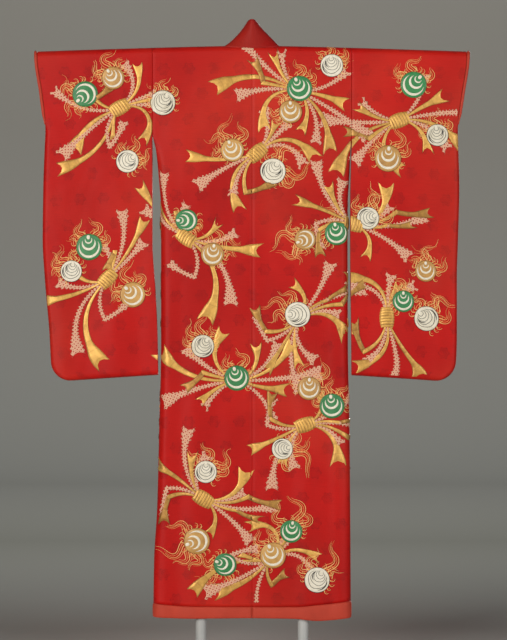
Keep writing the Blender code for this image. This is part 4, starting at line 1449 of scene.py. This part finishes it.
def embroidery_on(region, drawing):
    """The drawing's faces on one panel. What crosses its bounds is cut along them while it is still
    flat; then all of it is laid on the cloth."""
    points = region.flat_of(np.concatenate(drawing.points))
    faces = np.concatenate(drawing.faces)
    kept = region.holds(points, 0)[faces].any(axis=1)
    used, index = np.unique(faces[kept], return_inverse=True)
    layers = [
        ("skin", np.concatenate(drawing.skin)[used]),
        ("tone", np.concatenate(drawing.tone)[used]),
    ]
    name = "embroidery_" + region.name
    mesh = mesh_from(name, points[used], index.reshape(-1, 4).tolist(), layers)
    works = np.concatenate(drawing.works)[kept].astype(np.int32)
    mesh.polygons.foreach_set("material_index", works)
    bm = bmesh.new()
    bm.from_mesh(mesh)
    for point, inwards in region.bounds:
        bmesh.ops.bisect_plane(
            bm,
            geom=[*bm.verts, *bm.edges, *bm.faces],
            dist=1e-6,
            plane_co=(*point, 0.0),
            plane_no=(*inwards, 0.0),
            clear_inner=True,
        )
    for vert, point in zip(bm.verts, region.raised(np.array([v.co for v in bm.verts]))):
        vert.co = point
    bm.to_mesh(mesh)
    bm.free()
    if region.side * region.face > 0:
        mesh.flip_normals()
    mesh.shade_smooth()
    return add_piece(name, mesh, Drawing.WORKS)


def thread_tree(sides):
    """Geometry Nodes that sweep a round profile along each line of a mesh, as thick as its radius
    attribute says, and give it a material."""
    tree = bpy.data.node_groups.new("couched_thread", "GeometryNodeTree")
    add = tree.interface.new_socket
    add("Lines", in_out="INPUT", socket_type="NodeSocketGeometry")
    add("Sides", in_out="INPUT", socket_type="NodeSocketInt").default_value = sides
    add("Thickness", in_out="INPUT", socket_type="NodeSocketFloat").default_value = 1.0
    add("Thread", in_out="INPUT", socket_type="NodeSocketMaterial")
    add("Threads", in_out="OUTPUT", socket_type="NodeSocketGeometry")
    given = tree.nodes.new("NodeGroupInput").outputs
    named = "GeometryNodeInputNamedAttribute"
    radius = add_node(tree, named, {"Name": "radius"}, data_type="FLOAT")
    thick = add_node(tree, MATH, (radius, given["Thickness"]), operation="MULTIPLY")
    curves = add_node(tree, "GeometryNodeMeshToCurve", (given["Lines"],))
    round_one = {"Resolution": given["Sides"], "Radius": 1.0}
    profile = add_node(tree, "GeometryNodeCurvePrimitiveCircle", round_one)
    inputs = {"Curve": curves, "Profile Curve": profile, "Scale": thick, "Fill Caps": True}
    swept = add_node(tree, "GeometryNodeCurveToMesh", inputs)
    soft = add_node(tree, "GeometryNodeSetShadeSmooth", (swept,))
    real = add_node(tree, "GeometryNodeRealizeInstances", (soft,))
    inputs = {"Geometry": real, "Material": given["Thread"]}
    add_node(tree, "NodeGroupOutput", (add_node(tree, "GeometryNodeSetMaterial", inputs),), None)
    return tree


def run_tree(obj, tree, values):
    """Runs a tree on an object with named inputs, and keeps the result as a plain mesh."""
    modifier = obj.modifiers.new("Nodes", "NODES")
    modifier.node_group = tree
    for item in tree.interface.items_tree:
        if item.in_out == "INPUT" and item.name in values:
            modifier[item.identifier] = values[item.name]
    graph = bpy.context.evaluated_depsgraph_get()
    result = bpy.data.meshes.new_from_object(obj.evaluated_get(graph))
    bpy.data.objects.remove(obj)
    return result


def swept_threads(region, drawing, work, tree, key):
    """The threads of one work on one panel, swept; None where there is none."""
    points, radii, edges = [], [], []
    count = 0
    for named, line, radius in drawing.threads:
        if named != work:
            continue
        flat = region.flat_of(line)
        changes = np.diff([0, *region.holds(flat, THREAD_MARGIN).astype(int), 0])
        ends = np.flatnonzero(changes)
        for first, last in zip(ends[::2], ends[1::2]):
            size = last - first
            if size >= SHORTEST:
                points.append(region.raised(flat[first:last]))
                radii.append(radius[first:last])
                edges += [(count + i, count + i + 1) for i in range(size - 1)]
                count += size
    if not points:
        return None
    mesh = bpy.data.meshes.new("threads")
    mesh.from_pydata(np.concatenate(points).tolist(), edges, [])
    mesh.attributes.new("radius", "FLOAT", "POINT").data.foreach_set("value", np.concatenate(radii))
    return run_tree(add_object("threads", mesh), tree, {"Thread": material_of(key)})


def threads_on(region, drawing, tree):
    """The threads that are couched round and beside the embroidery of a panel, in one piece."""
    joined = bmesh.new()
    keys = []
    for work, key in THREAD_WORKS:
        swept = swept_threads(region, drawing, work, tree, key)
        if swept is not None:
            index = np.full(len(swept.polygons), len(keys), np.int32)
            swept.polygons.foreach_set("material_index", index)
            joined.from_mesh(swept)
            bpy.data.meshes.remove(swept)
            keys.append(key)
    name = "threads_" + region.name
    mesh = bpy.data.meshes.new(name)
    joined.to_mesh(mesh)
    joined.free()
    mesh.shade_smooth()
    return add_piece(name, mesh, keys)


# ---- stage ---------------------------------------------------------------------------------------

# The floor's tone at some distances behind the stand, greying a few metres back as painted shade
# for the dimmer foot of the backdrop; it ends in the floor's own colour.
FLOOR_LENGTH = 8.4
FLOOR_SHADED_TONES = ((0.0, "C9C7C1"), (0.65, "ACADA8"), (2.0, "A4A5A0"), (4.6, "84857F"))
FLOOR_FRONT = -14.0
WALL_Y = 11.5
WALL_TOP = 9.0
WALL_HALF = 12.0
WALL_RADIUS = 2.5
# Lamps: name, kind, where it stands, what it points at, its power, its other settings.
LAMPS = (
    (
        "key",
        "AREA",
        (-3.4, -6.2, 2.3),
        (0.0, 0.0, 1.1),
        330.0,
        {"size": 2.8, "color": (1.0, 0.975, 0.94)},
    ),
    (
        "fill",
        "AREA",
        (4.2, -5.6, 1.9),
        (0.1, 0.0, 0.9),
        175.0,
        {"size": 3.0, "color": (0.96, 0.98, 1.0)},
    ),
    (
        "wall",
        "AREA",
        (0.0, 3.5, 7.0),
        (0.0, 11.5, 4.2),
        520.0,
        {"size": 6.0, "color": (1.0, 0.985, 0.95)},
    ),
    (
        "front",
        "SPOT",
        (2.2, 7.4, 3.0),
        (0.0, 0.0, 1.05),
        3600.0,
        {"spot_size": math.radians(17), "spot_blend": 0.4, "shadow_soft_size": 0.45},
    ),
)
VIEW_HEIGHT = 1.926  # what the camera sees of the robe's back
VIEW_CENTRE = Vector((0.0045, 0.0, 1.049))
SENSOR = 24.0


def make_backdrop(settings):
    """A floor that is pale under the stand and greyer behind it, the grey being painted shade, and
    sweeps up into a wall.
    """
    turn = np.linspace(0, math.pi / 2, 17)
    y = np.array([FLOOR_FRONT, *(WALL_Y - WALL_RADIUS * (1 - np.sin(turn))), WALL_Y])
    z = np.array([0.0, *(WALL_RADIUS * (1 - np.cos(turn))), WALL_TOP])
    x = np.array([-WALL_HALF, WALL_HALF])
    points = np.stack(np.broadcast_arrays(x, y[:, None], z[:, None]), axis=2)
    mesh = mesh_from("backdrop", points.reshape(-1, 3), grid_faces(len(y), 2).tolist())
    made, tree = new_material("paper_backdrop", Roughness=0.9, Specular_IOR_Level=0.0)
    parts = add_node(tree, SEPARATE, (add_node(tree, PLACE, out="Object"),), None).outputs
    away = add_node(tree, RANGE, (parts[1], 0.0, FLOOR_LENGTH))
    ramp = add_node(tree, "ShaderNodeValToRGB", (away,), None)
    stops = ramp.color_ramp.elements
    stops[0].color = linear(FLOOR_SHADED_TONES[0][1])
    stops[1].color = settings.floor
    # Painted shade: the floor darkens a few metres behind the stand.
    for distance, tone in FLOOR_SHADED_TONES[1:]:
        stops.new(distance / FLOOR_LENGTH).color = linear(tone)
    rising = add_node(tree, RANGE, (parts[2], 0.0, WALL_RADIUS))
    inputs = {0: rising, 6: ramp.outputs[0], 7: settings.backdrop}
    surface(tree, add_node(tree, MIX, inputs, 2, data_type="RGBA"))
    mesh.materials.append(made)
    add_object("backdrop", mesh)


def make_lights():
    """Soft lamps for the back, the wall and the front, and a dim light from all round."""
    for name, kind, at, toward, power, settings in LAMPS:
        lamp = bpy.data.lights.new(name, kind)
        lamp.energy = power
        for setting, value in settings.items():
            setattr(lamp, setting, value)
        obj = add_object(name, lamp)
        obj.location = at
        obj.visible_camera = False
        obj.rotation_euler = (Vector(toward) - Vector(at)).to_track_quat("-Z", "Y").to_euler()
    world = bpy.data.worlds.new("studio")
    world.use_nodes = True
    background = world.node_tree.nodes["Background"]
    background.inputs["Color"].default_value = (0.5, 0.5, 0.5, 1)
    background.inputs["Strength"].default_value = 0.20
    bpy.context.scene.world = world
    bpy.context.scene.view_settings.view_transform = "Standard"


def make_camera(settings):
    """A camera that looks level at the middle of the back."""
    lens = bpy.data.cameras.new("camera")
    lens.sensor_fit = "VERTICAL"
    lens.sensor_height = SENSOR
    lens.lens = SENSOR * settings.distance / VIEW_HEIGHT
    lens.clip_end = 60.0
    obj = add_object("camera", lens)
    obj.location = VIEW_CENTRE + Vector((0, -settings.distance - FOLD_RADIUS, 0))
    obj.rotation_euler = (math.pi / 2, 0, 0)
    bpy.context.scene.camera = obj


# ---- operators -----------------------------------------------------------------------------------

PANELS = (("body", body_panel), ("sleeve", sleeve_panel), ("okumi", okumi_panel))
STAND = ("crossbar", "post_left", "post_right", "flange_left", "flange_right", "base_plate")


class UCHIKAKE_OT_panels(bpy.types.Operator):
    """Make the cloth panels of the robe: body, sleeves, front gores and collar"""

    bl_idname = "uchikake.panels"
    bl_label = "Cloth panels"

    def execute(self, context):
        step = context.scene.uchikake_cloth.step
        for side, word in SIDES:
            for part, make in PANELS:
                make(side, f"{part}_{word}_cloth", f"{part}_{word}", step)
        collar_band("collar_cloth", "collar")
        return {"FINISHED"}


class UCHIKAKE_OT_edges(bpy.types.Operator):
    """Make the padded edges: hand openings, front edges and hem"""

    bl_idname = "uchikake.edges"
    bl_label = "Padded edges"

    def execute(self, context):
        for side, word in SIDES:
            cuff(side, f"cuff_{word}_roll", f"cuff_{word}")
            front_edge(side, f"front_edge_{word}_roll", f"front_edge_{word}")
            for face, facing in FACINGS:
                hem_roll(side, face, f"hem_{facing}_{word}_roll", f"hem_{facing}_{word}")
        return {"FINISHED"}


class UCHIKAKE_OT_embroidery(bpy.types.Operator):
    """Embroider every panel with knotted ribbons and flaming jewels"""

    bl_idname = "uchikake.embroidery"
    bl_label = "Embroidery"

    def execute(self, context):
        tree = thread_tree(context.scene.uchikake_work.thread_sides)
        drawings = {-1: design(1), 1: design(-1)}
        for region in regions():
            embroidery_on(region, drawings[region.face])
            threads_on(region, drawings[region.face], tree)
        return {"FINISHED"}


class UCHIKAKE_OT_stand(bpy.types.Operator):
    """Paint the stand: bar, posts, flanges and foot"""

    bl_idname = "uchikake.stand"
    bl_label = "Stand"

    def execute(self, context):
        for name in STAND:
            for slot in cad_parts[name].material_slots:
                slot.material = material_of("paint")
        return {"FINISHED"}


class UCHIKAKE_OT_sheets(bpy.types.Operator):
    bl_idname = "uchikake.sheets"
    bl_label = "Cut sizes"

    def execute(self, context):
        return {"FINISHED"}


class UCHIKAKE_OT_stage(bpy.types.Operator):
    """Make the floor and backdrop, the lights and the camera"""

    bl_idname = "uchikake.stage"
    bl_label = "Stage"

    def execute(self, context):
        settings = context.scene.uchikake_stage
        make_backdrop(settings)
        make_lights()
        make_camera(settings)
        return {"FINISHED"}


class UCHIKAKE_PT_panel(bpy.types.Panel):
    """The robe's sizes, colours and pieces"""

    bl_idname = "UCHIKAKE_PT_panel"
    bl_label = "Uchikake"
    bl_space_type = "VIEW_3D"
    bl_region_type = "UI"
    bl_category = "Uchikake"

    def draw(self, context):
        for name, kind in GROUPS:
            box = self.layout.box()
            for setting in kind.__annotations__:
                box.prop(getattr(context.scene, name), setting)
        for operator in OPERATORS:
            self.layout.operator(operator.bl_idname)


GROUPS = (
    ("uchikake_cloth", ClothSettings),
    ("uchikake_work", EmbroiderySettings),
    ("uchikake_stage", StageSettings),
)
OPERATORS = (
    UCHIKAKE_OT_stage,
    UCHIKAKE_OT_panels,
    UCHIKAKE_OT_edges,
    UCHIKAKE_OT_embroidery,
    UCHIKAKE_OT_stand,
    UCHIKAKE_OT_sheets,
)


def register():
    for name, group in GROUPS:
        bpy.utils.register_class(group)
        setattr(bpy.types.Scene, name, PointerProperty(type=group))
    for kind in (*OPERATORS, UCHIKAKE_PT_panel):
        bpy.utils.register_class(kind)


def unregister():
    for kind in (UCHIKAKE_PT_panel, *reversed(OPERATORS)):
        bpy.utils.unregister_class(kind)
    for name, group in reversed(GROUPS):
        delattr(bpy.types.Scene, name)
        bpy.utils.unregister_class(group)


def main():
    register()
    bpy.ops.uchikake.stage()
    bpy.ops.uchikake.panels()
    bpy.ops.uchikake.edges()
    bpy.ops.uchikake.embroidery()
    bpy.ops.uchikake.stand()
    bpy.ops.uchikake.sheets()


if __name__ == "__main__":
    main()
